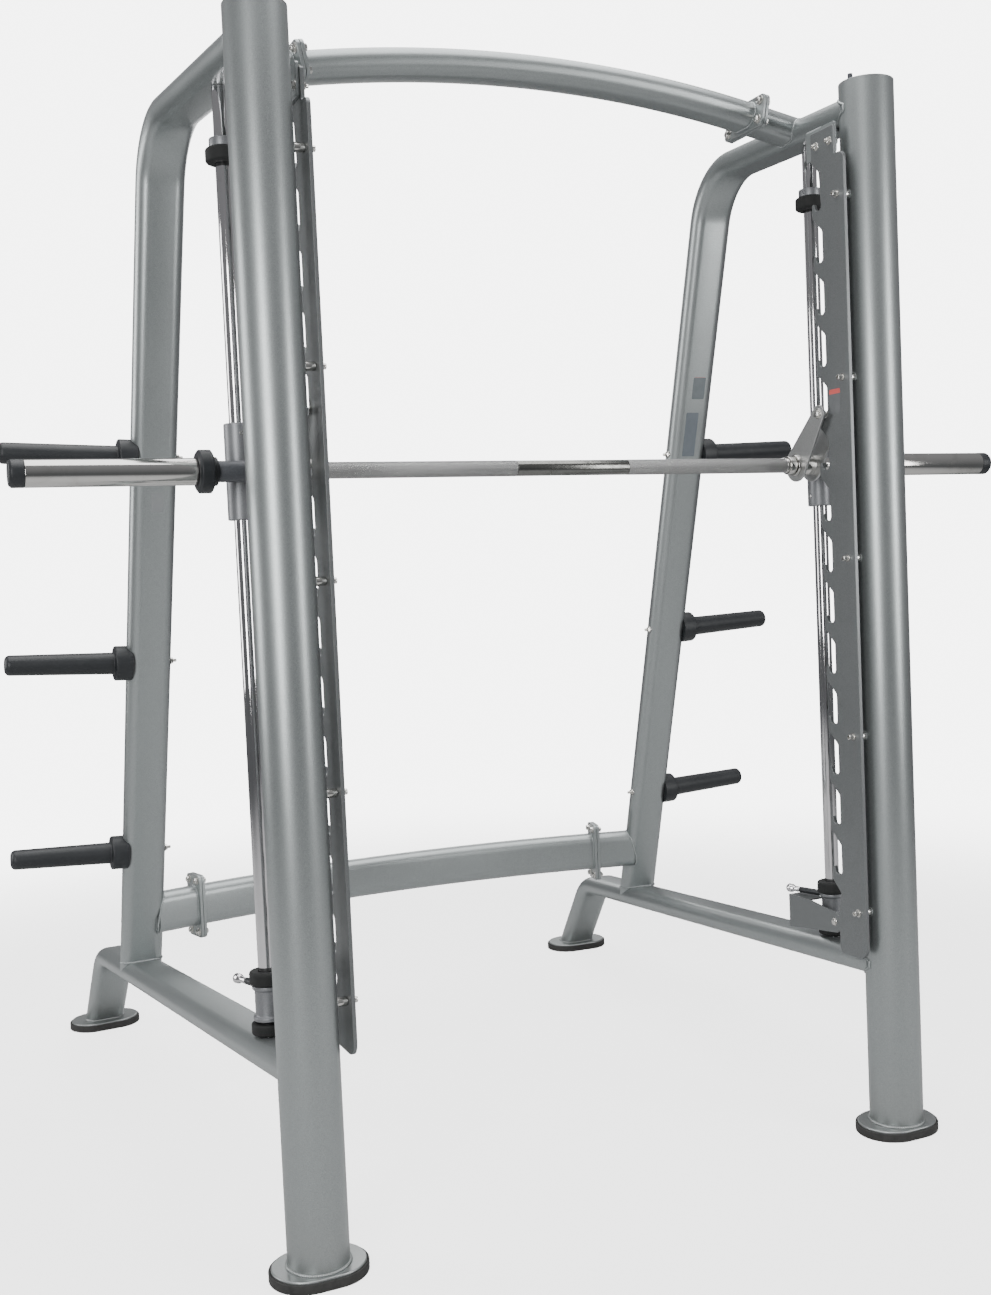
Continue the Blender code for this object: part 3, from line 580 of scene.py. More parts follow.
looks = {
    "coat": {
        "dark": (0.26, 0.28, 0.28), "light": (0.42, 0.445, 0.445), "cloud": (0.34, 0.365, 0.365),
        "patch": 0.35,
        "metallic": 0.85, "roughness": (0.35, 0.41), "broad": 4.0, "fine": 900.0, "peel": 0.10,
        "peelScale": 340.0,
        "coat": 0.15, "dustHeight": 0.20, "dustColour": (0.40, 0.39, 0.37),
    },
    "plate": {
        "dark": (0.14, 0.147, 0.15), "light": (0.21, 0.22, 0.222), "cloud": (0.17, 0.18, 0.182),
        "patch": 0.35,
        "metallic": 0.70, "roughness": (0.38, 0.46), "broad": 6.0, "fine": 900.0, "peel": 0.12,
        "peelScale": 420.0,
        "coat": 0.08, "dustHeight": 0.05, "dustColour": (0.36, 0.36, 0.35),
    },
    "casting": {
        "dark": (0.17, 0.175, 0.185), "light": (0.25, 0.255, 0.265), "cloud": (0.21, 0.215, 0.225),
        "patch": 0.4,
        "metallic": 0.65, "roughness": (0.38, 0.50), "broad": 12.0, "fine": 700.0, "peel": 0.2,
        "peelScale": 500.0,
        "coat": 0.05, "dustHeight": 0.05, "dustColour": (0.3, 0.3, 0.3),
    },
    "satin": {
        "dark": (0.42, 0.425, 0.42), "light": (0.58, 0.585, 0.58), "cloud": (0.50, 0.505, 0.50),
        "patch": 0.35,
        "metallic": 0.92, "roughness": (0.30, 0.38), "broad": 8.0, "fine": 1100.0, "peel": 0.06,
        "peelScale": 600.0,
        "coat": 0.05, "dustHeight": 0.05, "dustColour": (0.36, 0.36, 0.35),
    },
    "slate": {
        "dark": (0.055, 0.058, 0.066), "light": (0.095, 0.10, 0.11), "cloud": (0.075, 0.08, 0.09),
        "patch": 0.4,
        "metallic": 0.35, "roughness": (0.42, 0.52), "broad": 14.0, "fine": 700.0, "peel": 0.2,
        "peelScale": 500.0,
        "coat": 0.05, "dustHeight": 0.05, "dustColour": (0.2, 0.2, 0.2),
    },
    "chrome": {
        "colour": (0.66, 0.65, 0.66), "dull": (0.50, 0.49, 0.49), "roughness": (0.06, 0.16),
        "markScale": 9.0, "lines": (30.0, 30.0, 2600.0), "lineDepth": 0.03,
    },
    "barChrome": {
        "colour": (0.60, 0.59, 0.57), "dull": (0.42, 0.41, 0.39), "roughness": (0.09, 0.22),
        "markScale": 14.0, "lines": (2600.0, 30.0, 30.0), "lineDepth": 0.05,
    },
    "worn": {
        "colour": (0.20, 0.20, 0.19), "dull": (0.10, 0.10, 0.095), "roughness": (0.22, 0.38),
        "markScale": 22.0, "lines": (2200.0, 60.0, 60.0), "lineDepth": 0.12,
    },
    "zinc": {
        "colour": (0.72, 0.71, 0.68), "dull": (0.52, 0.50, 0.47), "roughness": (0.18, 0.34),
        "markScale": 60.0, "lines": (900.0, 900.0, 900.0), "lineDepth": 0.05,
    },
    # the knurl's groove colour is painted shade in its grooves
    "knurl": {"colour": (0.66, 0.66, 0.65), "grooveShade": (0.22, 0.22, 0.22), "turns": 64.0, "radius": 0.016},
    "rubber": {
        "dark": (0.006, 0.0065, 0.0065), "light": (0.014, 0.015, 0.015), "rubbed": (0.045, 0.045, 0.043),
        "marks": 0.4,
        "roughness": (0.60, 0.78), "broad": 20.0, "fine": 1300.0, "pebble": 0.35, "specular": 0.35,
    },
    "moulded": {
        "dark": (0.007, 0.009, 0.011), "light": (0.016, 0.018, 0.021), "rubbed": (0.045, 0.047, 0.048),
        "marks": 0.3,
        "roughness": (0.40, 0.52), "broad": 12.0, "fine": 1600.0, "pebble": 0.30, "specular": 0.5,
    },
}
silverCoat = coatMaterial("silverCoat", looks["coat"])
greyPlate = coatMaterial("greyPlate", looks["plate"])
satinPlate = coatMaterial("satinPlate", looks["satin"])
castGrey = coatMaterial("castGrey", looks["casting"])
slateCoat = coatMaterial("slateCoat", looks["slate"])
rodChrome = chromeMaterial("rodChrome", looks["chrome"])
barChrome = chromeMaterial("barChrome", looks["barChrome"])
wornSteel = chromeMaterial("wornSteel", looks["worn"])
brightZinc = chromeMaterial("brightZinc", looks["zinc"])
knurledGrip = knurlMaterial("knurledGrip", looks["knurl"])
blackRubber = blackMaterial("blackRubber", looks["rubber"])
blackMoulded = blackMaterial("blackMoulded", looks["moulded"])


def labelMaterial(name, look):
    # a blank label: a coloured band along its top over a plain field, each slightly mottled
    material, tree, shader, vector = startMaterial(name, 0.0)
    grain = groupNode(tree, clouds, vector, {"Broad Scale": 60.0, "Fine Scale": 1500.0})
    split = addNode(tree, "ShaderNodeSeparateXYZ")
    tree.links.new(vector, split.inputs["Vector"])
    band = addNode(tree, "ShaderNodeMath", {"operation": "GREATER_THAN"}, {1: look["bandZ"]})
    tree.links.new(split.outputs["Z"], band.inputs[0])
    field = mixColour(tree, grain.outputs["Clouds"], look["field"], look["fade"])
    tree.links.new(mixColour(tree, band.outputs[0], field, look["band"]), shader.inputs["Base Color"])
    tree.links.new(
        mapRange(tree, grain.outputs["Specks"], 0.3, 0.7, 0.30, 0.42), shader.inputs["Roughness"]
    )
    return material


print("finishes made")

catchPlan = {
    "x": 0.578, "thickness": 0.008, "front": -0.025, "rear": 0.084, "wall": 0.052, "bottom": 0.390,
    "shoulder": 2.105, "top": 2.165, "slots": 14, "pitch": 0.1105, "first": 0.564, "corner": 0.028,
}
columnTop = columnHigh[2]
for label, side in sides.items():
    outer, wall, rim = columnPlan["radius"], columnPlan["wall"], columnPlan["rim"]
    low = boxOf(f"{label}_column")[0][2]
    axis = spot(side * columnX, 0, 0)
    tube = turnedRing(outer - wall, outer, low, columnTop, [rim, rim, 0.0002, 0.0002], 3, axis, upZ, 112)
    stands = []
    for z in columnPlan["screwHeights"]:
        start = columnX - outer + 0.002
        length = start - catchPlan["x"] - catchPlan["thickness"] / 2 - 0.0003
        dome = np.array(
            [
                (0.0, length), (0.0068, length), (0.0078, length - 0.0006), (0.0086, length - 0.003),
                (0.0089, 0.006), (0.0090, 0.0), (0, 0),
            ]
        )
        stands.append(turnedShape(dome, spot(side * start, 0, z), (-side, 0, 0), 40))
    addPiece(f"{label}ColumnTube", [tube], f"{label}_column", silverCoat, [f"{label}_column"])
    addPiece(f"{label}Standoffs", stands, f"{label}_column", brightZinc)
    beads = []
    for z in columnPlan["screwHeights"]:
        angles = np.linspace(0, 2 * np.pi, 40, endpoint=False)
        loop = (
            spot(side * (columnX - outer + 0.0006), 0, z)
            + 0.0096 * np.stack([0 * angles, np.cos(angles), np.sin(angles)], 1)
        )
        beads.append(beadShape(loop, 0.0013, 0.10, 0.0028))
    angles = np.linspace(0, 2 * np.pi, 96, endpoint=False)
    foot = (
        spot(side * columnX, 0, low + 0.001)
        + (outer + 0.0008) * np.stack([np.cos(angles), np.sin(angles), 0 * angles], 1)
    )
    beads.append(beadShape(foot, 0.0030))
    addPiece(f"{label}ColumnWelds", beads, f"{label}_column", silverCoat, sharp=80)
    capRadius = outer - wall - 0.0004
    top, bottom = columnTop - 0.008, columnTop - 0.015
    profile = roundCorners(
        [(0, top), (capRadius, top), (capRadius, bottom), (0, bottom)], [0.0001, 0.0015, 0.0005, 0.0001], 3,
        False,
    )
    disc = turnedShape(profile, axis, upZ, 80)
    studs = []
    for way in (-1, 1):
        stud = roundCorners(
            [
                (0, columnTop + 0.012), (0.0053, columnTop + 0.012), (0.0053, columnTop - 0.010),
                (0, columnTop - 0.010),
            ],
            0.0018, 4, False,
        )
        studs.append(turnedShape(stud, spot(side * columnX + way * 0.047, way * 0.008, 0), upZ, 28))
    addPiece(f"{label}ColumnCap", [disc, *studs], f"{label}_column_cap", slateCoat, [f"{label}_column_cap"])
print("columns made")

footPlan = {"front": {"length": 0.176, "width": 0.136}, "rear": {"length": 0.186, "width": 0.124}}
frameSplay = 0.0671
for label, side in sides.items():
    for place, sizes in footPlan.items():
        low, high = boxOf(f"{label}_{place}_foot_plate")
        centre = (low + high) / 2
        turn = 0.0 if place == "front" else -side * frameSplay
        across = np.array([math.cos(turn), math.sin(turn), 0.0])
        along = np.array([-math.sin(turn), math.cos(turn), 0.0])
        outline = stadium(sizes["length"], sizes["width"], 28)
        plate = plateShape(outline, high[2] - low[2], centre, across, along)
        plateNode, padNode = f"{label}_{place}_foot_plate", f"{label}_{place}_foot_pad"
        addPiece(
            f"{label}{place.capitalize()}FootPlate", [plate], plateNode, silverCoat, [plateNode], 0.0025,
            38, 3,
        )
        padHigh = boxOf(padNode)[1][2]
        normal = unit(np.roll(outline, -1, 0) - np.roll(outline, 1, 0))[:, ::-1] * [1, -1]
        rimProfile = roundCorners(
            [(0.0003, 0.0), (0.0045, 0.0), (0.0045, padHigh), (0.0006, padHigh)],
            [0.0001, 0.0014, 0.0018, 0.0012], 4,
        )
        flat = outline[None] + rimProfile[:, None, :1] * normal[None]
        tall = np.repeat(rimProfile[:, None, 1:], len(outline), 1)
        ground = np.array([centre[0], centre[1], 0.0])
        rimPoints = ground + flat[..., :1] * across + flat[..., 1:] * along + tall * upZ
        rim = rimPoints.reshape(-1, 3), gridFaces(len(rimProfile), len(outline), True, True)
        base = plateShape(outline, 0.0098, ground + upZ * 0.0049, across, along)
        addPiece(f"{label}{place.capitalize()}FootPad", [rim, base], padNode, blackRubber, [padNode])
print("feet made")

railPlan = {"width": 0.106, "depth": 0.054, "sideX": 0.655, "upperBend": 0.16, "lowerBend": 0.13}


def sidePoint(side, y, z):
    return spot(side * (railPlan["sideX"] + frameSplay * y), y, z)


def uprightY(z):
    return 1.2205 - 0.318 * (z - 0.4)


def lowerRailZ(y):
    return 0.3725 - 0.081 * y


def topRailZ(y):
    return 2.202 + 0.066 * y


cornerZ = 2.202
for _ in range(20):
    cornerZ = topRailZ(uprightY(cornerZ))
section = stadium(railPlan["width"], railPlan["depth"], 14)
legSlope = (1.74 - 1.565) / (lowerRailZ(1.565) - 0.022)
for label, side in sides.items():
    corners = [
        sidePoint(side, 0.012, topRailZ(0.012)), sidePoint(side, uprightY(cornerZ), cornerZ),
        sidePoint(side, uprightY(0.272), 0.272),
    ]
    path = roundCorners(corners, railPlan["upperBend"], 26, False)
    fine = np.linspace(0, 1, 10)[1:-1, None]
    path = np.concatenate(
        [
            path[:1], path[0] + (path[1] - path[0]) * fine, path[1:-1],
            path[-2] + (path[-1] - path[-2]) * fine, path[-1:],
        ]
    )
    node = f"{label}_upright"
    addPiece(f"{label}Upright", [sweptShape(path, section)], node, silverCoat, [node])
    footDrop = 0.022 - 0.012
    corners = [
        sidePoint(side, 0.012, lowerRailZ(0.012)), sidePoint(side, 1.565, lowerRailZ(1.565)),
        sidePoint(side, 1.74 + legSlope * footDrop, 0.012),
    ]
    path = roundCorners(corners, railPlan["lowerBend"], 22, False)
    node = f"{label}_lower_rail"
    addPiece(f"{label}LowerRail", [sweptShape(path, section, 0.0200)], node, silverCoat, [node])

    # weld beads follow the section's outline along the tube until it meets its neighbour
    alongTop = unit([side * frameSplay, 1.0, 0.066])
    alongLow = unit([side * frameSplay, 1.0, -0.081])
    down = unit(sidePoint(side, uprightY(0.4), 0.4) - sidePoint(side, uprightY(1.2), 1.2))
    beads = []
    for start, along in (
        (sidePoint(side, 0.4, topRailZ(0.4)), alongTop), (sidePoint(side, 0.4, lowerRailZ(0.4)), alongLow)
    ):
        level = unit(np.cross(upZ, along))
        ring = start + section[:, :1] * level + section[:, 1:] * np.cross(along, level)
        beads.append(
            beadShape(
                meetCylinder(ring, -along, spot(side * columnX, 0, 0), upZ, columnPlan["radius"]), 0.0030
            )
        )
    level = unit(np.cross(upZ, down))
    rise = np.cross(down, level)
    ring = sidePoint(side, uprightY(0.6), 0.6) + section[:, :1] * level + section[:, 1:] * rise
    topNormal = unit(np.cross(alongLow, np.cross(upZ, alongLow)))
    onRail = sidePoint(side, 1.2, lowerRailZ(1.2)) + topNormal * railPlan["depth"] / 2
    landed = meetPlane(ring, down, onRail, topNormal)
    inward = landed - landed.mean(0)
    beads.append(beadShape(landed.mean(0) + inward * 0.985, 0.0032))
    legEnd = unit([side * frameSplay * legSlope, legSlope, -1.0])
    level = unit(np.cross(upZ, legEnd))
    ring = sidePoint(side, 1.70, 0.075) + section[:, :1] * level + section[:, 1:] * np.cross(legEnd, level)
    beads.append(beadShape(meetPlane(ring, legEnd, np.array([0, 0, 0.0228]), upZ), 0.0030))
    addPiece(f"{label}FrameWelds", beads, f"{label}_upright", silverCoat, sharp=80)
print("side frames made")

crossPlan = {
    "top_crossbar": {
        "piece": "topCrossbar", "stub": "top_stub", "stubPiece": "TopStub", "endX": 0.523, "endY": 0.239,
        "z": 2.243, "bow": 0.047, "towards": (0, 0, 1),
        "section": stadium(0.090, 0.054, 12), "plate": (0.1455, 0.0715), "corner": 0.013,
        "bolts": (0.057, 0.021), "reach": 0.112,
    },
    "lower_crossbar": {
        "piece": "lowerCrossbar", "stub": "lower_stub", "stubPiece": "LowerStub", "endX": 0.590,
        "endY": 1.238, "z": 0.424, "bow": 0.068, "towards": (0, 1, 0),
        "section": stadium(0.106, 0.054, 12)[:, ::-1] * [-1, 1], "plate": (0.0755, 0.1635), "corner": 0.012,
        "bolts": (0.022, 0.067), "reach": 0.110,
    },
}
topRailLine = {
    side: (sidePoint(side, 0.2, topRailZ(0.2)), unit([side * frameSplay, 1.0, 0.066]))
    for side in sides.values()
}
uprightLine = {
    side: (
        sidePoint(side, uprightY(0.424), 0.424),
        unit(sidePoint(side, uprightY(0.4), 0.4) - sidePoint(side, uprightY(1.2), 1.2)),
    )
    for side in sides.values()
}
for name, plan in crossPlan.items():
    # an arc through both ends: radius = (endX^2 + bow^2) / (2 bow), its middle moved by bow
    towards = np.array(plan["towards"], float)
    radius = (plan["endX"] ** 2 + plan["bow"] ** 2) / (2 * plan["bow"])
    half = math.asin(plan["endX"] / radius)
    turn = np.linspace(-1, 1, 61)[:, None] * (half - 0.004 / radius)
    path = (
        spot(0, plan["endY"], plan["z"]) + radius * np.sin(turn) * [1, 0, 0]
        + radius * (np.cos(turn) - math.cos(half)) * towards
    )
    plates, bolts, beads = [], [], []
    for label, side in sides.items():
        facing = np.array([side * math.cos(half), 0, 0]) - towards * math.sin(half)
        level = unit(np.cross(upZ, facing))
        rise = np.cross(facing, level)
        centre = spot(side * plan["endX"], plan["endY"], plan["z"])
        shape = roundedRectangle(*plan["plate"], plan["corner"], 6)
        plates.append(plateShape(shape, 0.0077, centre - facing * 0.00415, level, rise))
        stubPlate = plateShape(shape, 0.0077, centre + facing * 0.00415, level, rise)
        start = centre + facing * 0.005
        stub = sweptShape(start + facing * plan["reach"] * np.linspace(0, 1, 3)[:, None], plan["section"])
        node = f"{label}_{plan['stub']}"
        addPiece(f"{label}{plan['stubPiece']}", [stub], node, silverCoat, [node])
        addPiece(f"{label}{plan['stubPiece']}Plate", [stubPlate], node, silverCoat, (), 0.0012)
        for u in (-1, 1):
            for v in (-1, 1):
                place = centre + level * u * plan["bolts"][0] + rise * v * plan["bolts"][1]
                bolts.append(hexHead(place - facing * 0.0080, -facing, 0.0130, 0.0080, 0.0105))
                bolts.append(hexHead(place + facing * 0.0080, facing, 0.0130, 0.0075, 0.0105))
                bolts.append(boltEnd(place + facing * 0.0145, facing, 0.0040, 0.0030))
        ring = centre + plan["section"][:, :1] * level + plan["section"][:, 1:] * rise
        beads.append(beadShape(ring - facing * 0.0088, 0.0022))
        beads.append(beadShape(ring + facing * 0.0088, 0.0022))
        # the stub meets the side frame where its outline reaches the tube's inner nose
        axisPoint, axis = topRailLine[side] if name == "top_crossbar" else uprightLine[side]
        inset = np.array([-side, frameSplay, 0.0]) * (railPlan["width"] - railPlan["depth"]) / 2
        beads.append(
            beadShape(meetCylinder(ring, facing, axisPoint + inset, axis, railPlan["depth"] / 2), 0.0024)
        )
    addPiece(plan["piece"], [sweptShape(path, plan["section"])], name, silverCoat, [name])
    addPiece(f"{plan['piece']}Plates", plates, name, silverCoat, (), 0.0012)
    addPiece(f"{plan['piece']}Bolts", bolts, name, brightZinc, sharp=30)
    addPiece(f"{plan['piece']}Welds", beads, name, silverCoat, sharp=80)
print("crossbars made")

hornPlan = {
    "heights": {"top": 1.555, "middle": 1.080, "bottom": 0.600}, "tilt": 2.5, "tip": 1.052, "collar": 0.040
}
for label, side in sides.items():
    ends = []
    for level, z in hornPlan["heights"].items():
        y = uprightY(z)
        baseX = 0.655 + frameSplay * y + railPlan["width"] / 2 - 0.012
        tilt = math.radians(hornPlan["tilt"])
        direction = np.array([side * math.cos(tilt), 0, math.sin(tilt)])
        length, collar = hornPlan["tip"] - baseX, hornPlan["collar"]
        profile = roundCorners(
            [
                (0, length), (0.0238, length), (0.0262, collar + 0.001), (0.0415, collar), (0.0415, 0.0),
                (0.0, 0.0),
            ],
            [0.0, 0.014, 0.003, 0.0035, 0.0012, 0.0], 8, False,
        )
        horn = turnedShape(profile, spot(side * baseX, y, z), direction, 64)
        node = f"{label}_{level}_horn"
        addPiece(f"{label}{level.capitalize()}Horn", [horn], node, blackMoulded, [node])
        innerX = 0.655 + frameSplay * y - railPlan["width"] / 2
        ends.append(hexHead(spot(side * (innerX + 0.0004), y, z), (-side, 0, 0), 0.0125, 0.0062, 0.0092))
        ends.append(boltEnd(spot(side * (innerX - 0.0060), y, z), (-side, 0, 0), 0.0038, 0.0080))
    addPiece(f"{label}HornBolts", ends, f"{label}_upright", brightZinc, sharp=30)
print("horns made")

rodPlan = {"radius": 0.016, "bore": 0.0163, "collar": 0.026, "bumper": 0.034}
for label, side in sides.items():
    centre = np.array([side * rodX, rodY, 0.0])
    low, high = boxOf(f"{label}_guide_rod")
    rod = turnedRod(rodPlan["radius"], low[2], high[2], 0.001, centre, upZ, 72)
    addPiece(f"{label}GuideRod", [rod], f"{label}_guide_rod", rodChrome, [f"{label}_guide_rod"])
    for node, piece, radius, edge, material in (
        ("upper_collar", "UpperCollar", rodPlan["collar"], 0.0022, castGrey),
        ("upper_bumper", "UpperBumper", rodPlan["bumper"], 0.0060, blackRubber),
        ("base_bumper", "BaseBumper", rodPlan["bumper"], 0.0045, blackRubber),
    ):
        low, high = boxOf(f"{label}_{node}")
        edges = [0.0005, edge, edge, 0.0005]
        shape = turnedRing(rodPlan["bore"], radius, low[2], high[2], edges, 5, centre, upZ)
        extra = []
        if node == "upper_collar":
            extra.append(
                socketScrew(
                    centre + np.array([-side * 0.0245, -0.0080, (low[2] + high[2]) / 2]), (-side, -0.33, 0),
                    0.0038, 0.0030, 0.0032,
                )
            )
        addPiece(f"{label}{piece}", [shape, *extra], f"{label}_{node}", material, [f"{label}_{node}"])
print("rods made")


def catchOutline(plan):
    # front edge, top tab, then one upward hook for each slot down the rear edge
    front, rear, wall = plan["front"], plan["rear"], plan["wall"]
    points = [
        (0.060, plan["bottom"]), (front, plan["bottom"]), (front, plan["shoulder"]),
        (0.006, plan["shoulder"]), (0.006, plan["top"]), (rear - 0.002, plan["top"]), (rear - 0.002, 2.105),
        (wall + 0.006, 2.080),
    ]
    rounds = [0.004, plan["corner"], plan["corner"], 0.005, 0.004, 0.004, 0.006, 0.008]
    for index in range(plan["slots"] - 1, -1, -1):
        z = plan["first"] + plan["pitch"] * index
        points += [
            (wall, z), (wall + 0.0190, z), (rear - 0.0060, z + 0.0175), (rear, z + 0.0140),
            (rear, z - 0.0145),
        ]
        rounds += [0.0090, 0.0080, 0.0030, 0.0030, 0.0080]
        if index:
            points.append((wall, z - plan["pitch"] + 0.0660))
            rounds.append(0.010)
    points += [
        (0.056, plan["first"] - 0.042), (0.066, plan["first"] - 0.080), (0.066, plan["bottom"] + 0.012)
    ]
    rounds += [0.010, 0.010, 0.006]
    return roundCorners(points, rounds, 5)


catchLoop = catchOutline(catchPlan)
for label, side in sides.items():
    node = f"{label}_catch_plate"
    plate = plateShape(
        catchLoop, catchPlan["thickness"], spot(side * catchPlan["x"], 0, 0), (0, 1, 0), (0, 0, 1)
    )
    addPiece(f"{label}CatchPlate", [plate], node, greyPlate, [node], 0.0009)
    face = catchPlan["x"] - catchPlan["thickness"] / 2
    screws = []
    for z in columnPlan["screwHeights"]:
        place = spot(side * (face - 0.0001), 0.0, z)
        screws.append(
            turnedShape([(0, 0), (0.0085, 0), (0.0085, 0.0012), (0, 0.0012)], place, (-side, 0, 0), 32)
        )
        screws.append(socketScrew(place - [side * 0.0012, 0, 0], (-side, 0, 0), 0.0056, 0.0104, 0.0050))
    for y, z in ((0.020, 2.135), (0.064, 2.135)):
        screws.append(hexHead(spot(side * (face + 0.0002), y, z), (-side, 0, 0), 0.0115, 0.0060, 0.0090))
        screws.append(boltEnd(spot(side * (face - 0.0058), y, z), (-side, 0, 0), 0.0034, 0.0058))
        outer = catchPlan["x"] + catchPlan["thickness"] / 2 + 0.0063
        screws.append(hexHead(spot(side * outer, y, z), (side, 0, 0), 0.0115, 0.0060, 0.0090))
    addPiece(f"{label}CatchScrews", screws, node, brightZinc, sharp=30)
    node = f"{label}_catch_bracket"
    low, high = boxOf(node)
    bend = [
        (0.0, 0.0), (0.006, 0.0), (0.006, high[2] - low[2] - 0.006),
        (high[0] - low[0], high[2] - low[2] - 0.006), (high[0] - low[0], high[2] - low[2]),
        (0.0, high[2] - low[2]),
    ]
    bend = roundCorners(bend, [0.001, 0.001, 0.002, 0.001, 0.001, 0.0055], 4)
    origin = np.array([low[0] if side > 0 else high[0], (0.0605 + 0.108) / 2 + depthShift, low[2]])
    ell = plateShape(bend, 0.0475, origin, (side, 0, 0), (0, 0, 1))
    tabOutline = roundedRectangle(0.050, 0.0633, 0.004, 4)
    tabX = side * (catchPlan["x"] + catchPlan["thickness"] / 2 + 0.0033)
    tab = plateShape(tabOutline, 0.006, spot(tabX, 0.0355, low[2] + 0.0317), (0, 1, 0), (0, 0, 1))
    addPiece(f"{label}CatchBracket", [ell, tab], node, silverCoat, [node], 0.0007)
print("catch plates made")

barPlan = {
    "radius": 0.016, "gripStart": 0.128, "gripEnd": 0.525, "step": 0.772, "end": 1.088, "spigot": 0.0125,
    "sleeveBore": 0.0129, "sleeve": 0.025,
}
barAxis = np.array([1.0, 0.0, 0.0])
barCentre = np.array([0.0, barY + depthShift, barZ])


def barPart(start, end, radius, edge=0.0006):
    # a round bar between two places on the bar's axis, its ends turned to a small radius
    return turnedRod(radius, min(start, end), max(start, end), edge, barCentre, barAxis, 72)


middle = barPart(-barPlan["gripStart"], barPlan["gripStart"], barPlan["radius"] - 0.0003)
addPiece("barMiddle", [middle], "bar_shaft", wornSteel, ["bar_shaft"])
for label, side in sides.items():
    grip = barPart(
        side * (barPlan["gripStart"] + 0.0002), side * barPlan["gripEnd"], barPlan["radius"], 0.0012
    )
    addPiece(f"{label}Grip", [grip], "bar_shaft", knurledGrip)
    smoothEnd = barPart(
        side * (barPlan["gripEnd"] + 0.0002), side * barPlan["step"], barPlan["radius"] - 0.0001, 0.0012
    )
    spigot = barPart(side * (barPlan["step"] - 0.004), side * barPlan["end"], barPlan["spigot"])
    edges = [0.0005, 0.003, 0.003, 0.0005]
    stopRing = turnedRing(0.0162, 0.0200, 0.5320, 0.5480, edges, 5, barCentre, barAxis, 64, side)
    addPiece(f"{label}BarEnd", [smoothEnd, spigot, stopRing], "bar_shaft", barChrome)
    node = f"{label}_sleeve"
    low, high = boxOf(node)
    ends = sorted((abs(low[0]), abs(high[0])))
    edges = [0.0003, 0.0012, 0.0008, 0.0003]
    sleeve = turnedRing(
        barPlan["sleeveBore"], barPlan["sleeve"], *ends, edges, 4, barCentre, barAxis, 96, side
    )
    addPiece(f"{label}Sleeve", [sleeve], node, barChrome, [node])
    node = f"{label}_sleeve_flange"
    low, high = boxOf(node)
    ends = sorted((abs(low[0]), abs(high[0])))
    disc = [
        (0.0163, ends[1]), (0.0345, ends[1]), (0.0400, ends[1] - 0.0040), (0.0400, ends[0] + 0.0125),
        (0.0350, ends[0] + 0.0095),
    ]
    hub = [(0.0265, ends[0] + 0.0095), (0.0265, ends[0] + 0.0005), (0.0163, ends[0] + 0.0005)]
    profile = roundCorners(disc + hub, [0.0005, 0.0025, 0.0020, 0.0020, 0.0020, 0.0015, 0.0015, 0.0005], 5)
    flange = turnedShape(profile * [1, side], barCentre, barAxis, 80, True)
    addPiece(f"{label}SleeveFlange", [flange], node, blackMoulded, [node])
    node = f"{label}_end_cap"
    low, high = boxOf(node)
    ends = sorted((abs(low[0]), abs(high[0])))
    profile = [
        (0, ends[1] - 0.0012), (0.0150, ends[1] - 0.0012), (0.0175, ends[1]), (0.0215, ends[1]),
        (0.0252, ends[1] - 0.005), (0.0252, ends[0]), (0.0129, ends[0]), (0.0129, ends[1] - 0.0115),
        (0, ends[1] - 0.0115),
    ]
    profile = roundCorners(profile, [0, 0.001, 0.001, 0.003, 0.003, 0.0008, 0.0005, 0.0005, 0], 4, False)
    cap = turnedShape(profile * [1, side], barCentre, barAxis, 80)
    addPiece(f"{label}EndCap", [cap], node, blackMoulded, [node])
print("bar made")

carriagePlan = {
    "bore": 0.0166, "radius": 0.0270, "bossBore": 0.0163, "bossRadius": 0.0195, "bossStart": 0.655,
    "bossEnd": 0.7335, "webX": 0.694,
}
for label, side in sides.items():
    node = f"{label}_carriage"
    low, high = boxOf(node)
    centre = np.array([side * rodX, rodY, 0.0])
    edges = [0.0015, 0.0022, 0.0022, 0.0015]
    housing = turnedRing(
        carriagePlan["bore"], carriagePlan["radius"], low[2], high[2], edges, 4, centre, upZ, 80
    )
    screws = []
    for offset, facing in (
        ((-side * 0.0005, -0.0262, high[2] - 0.020), (0, -1, 0)),
        ((-side * 0.0262, 0.0, low[2] + 0.022), (-side, 0, 0)),
    ):
        screws.append(socketScrew(centre + np.array(offset), facing, 0.0042, 0.0020, 0.0036))
    addPiece(f"{label}Housing", [housing], node, castGrey, [node])
    addPiece(f"{label}HousingScrews", screws, node, brightZinc, sharp=30)
    bossSizes = [carriagePlan[key] for key in ("bossBore", "bossRadius", "bossStart", "bossEnd")]
    boss = turnedRing(*bossSizes, [0.0005, 0.0015, 0.0015, 0.0005], 4, barCentre, barAxis, 72, side)
    webOutline = roundCorners(
        [(-0.032, -0.016), (0.032, -0.016), (0.032, 0.016), (-0.032, 0.016)], 0.003, 4
    )
    web = plateShape(
        webOutline, 0.038,
        np.array([side * carriagePlan["webX"], (barY + 0.0175 + 0.198) / 2 + depthShift, barZ]), (1, 0, 0),
        (0, 0, 1),
    )
    addPiece(f"{label}Boss", [boss, web], node, slateCoat)
print("carriages made")

hookPlan = {
    "pinY": 0.062, "pinZ": 1.5675, "large": 0.036, "small": 0.019, "thickness": 0.005,
    "plateX": (0.5585, 0.5995), "pinRadius": 0.0079, "pinHalves": ((0.5560, 0.5732), (0.5828, 0.6000)),
}


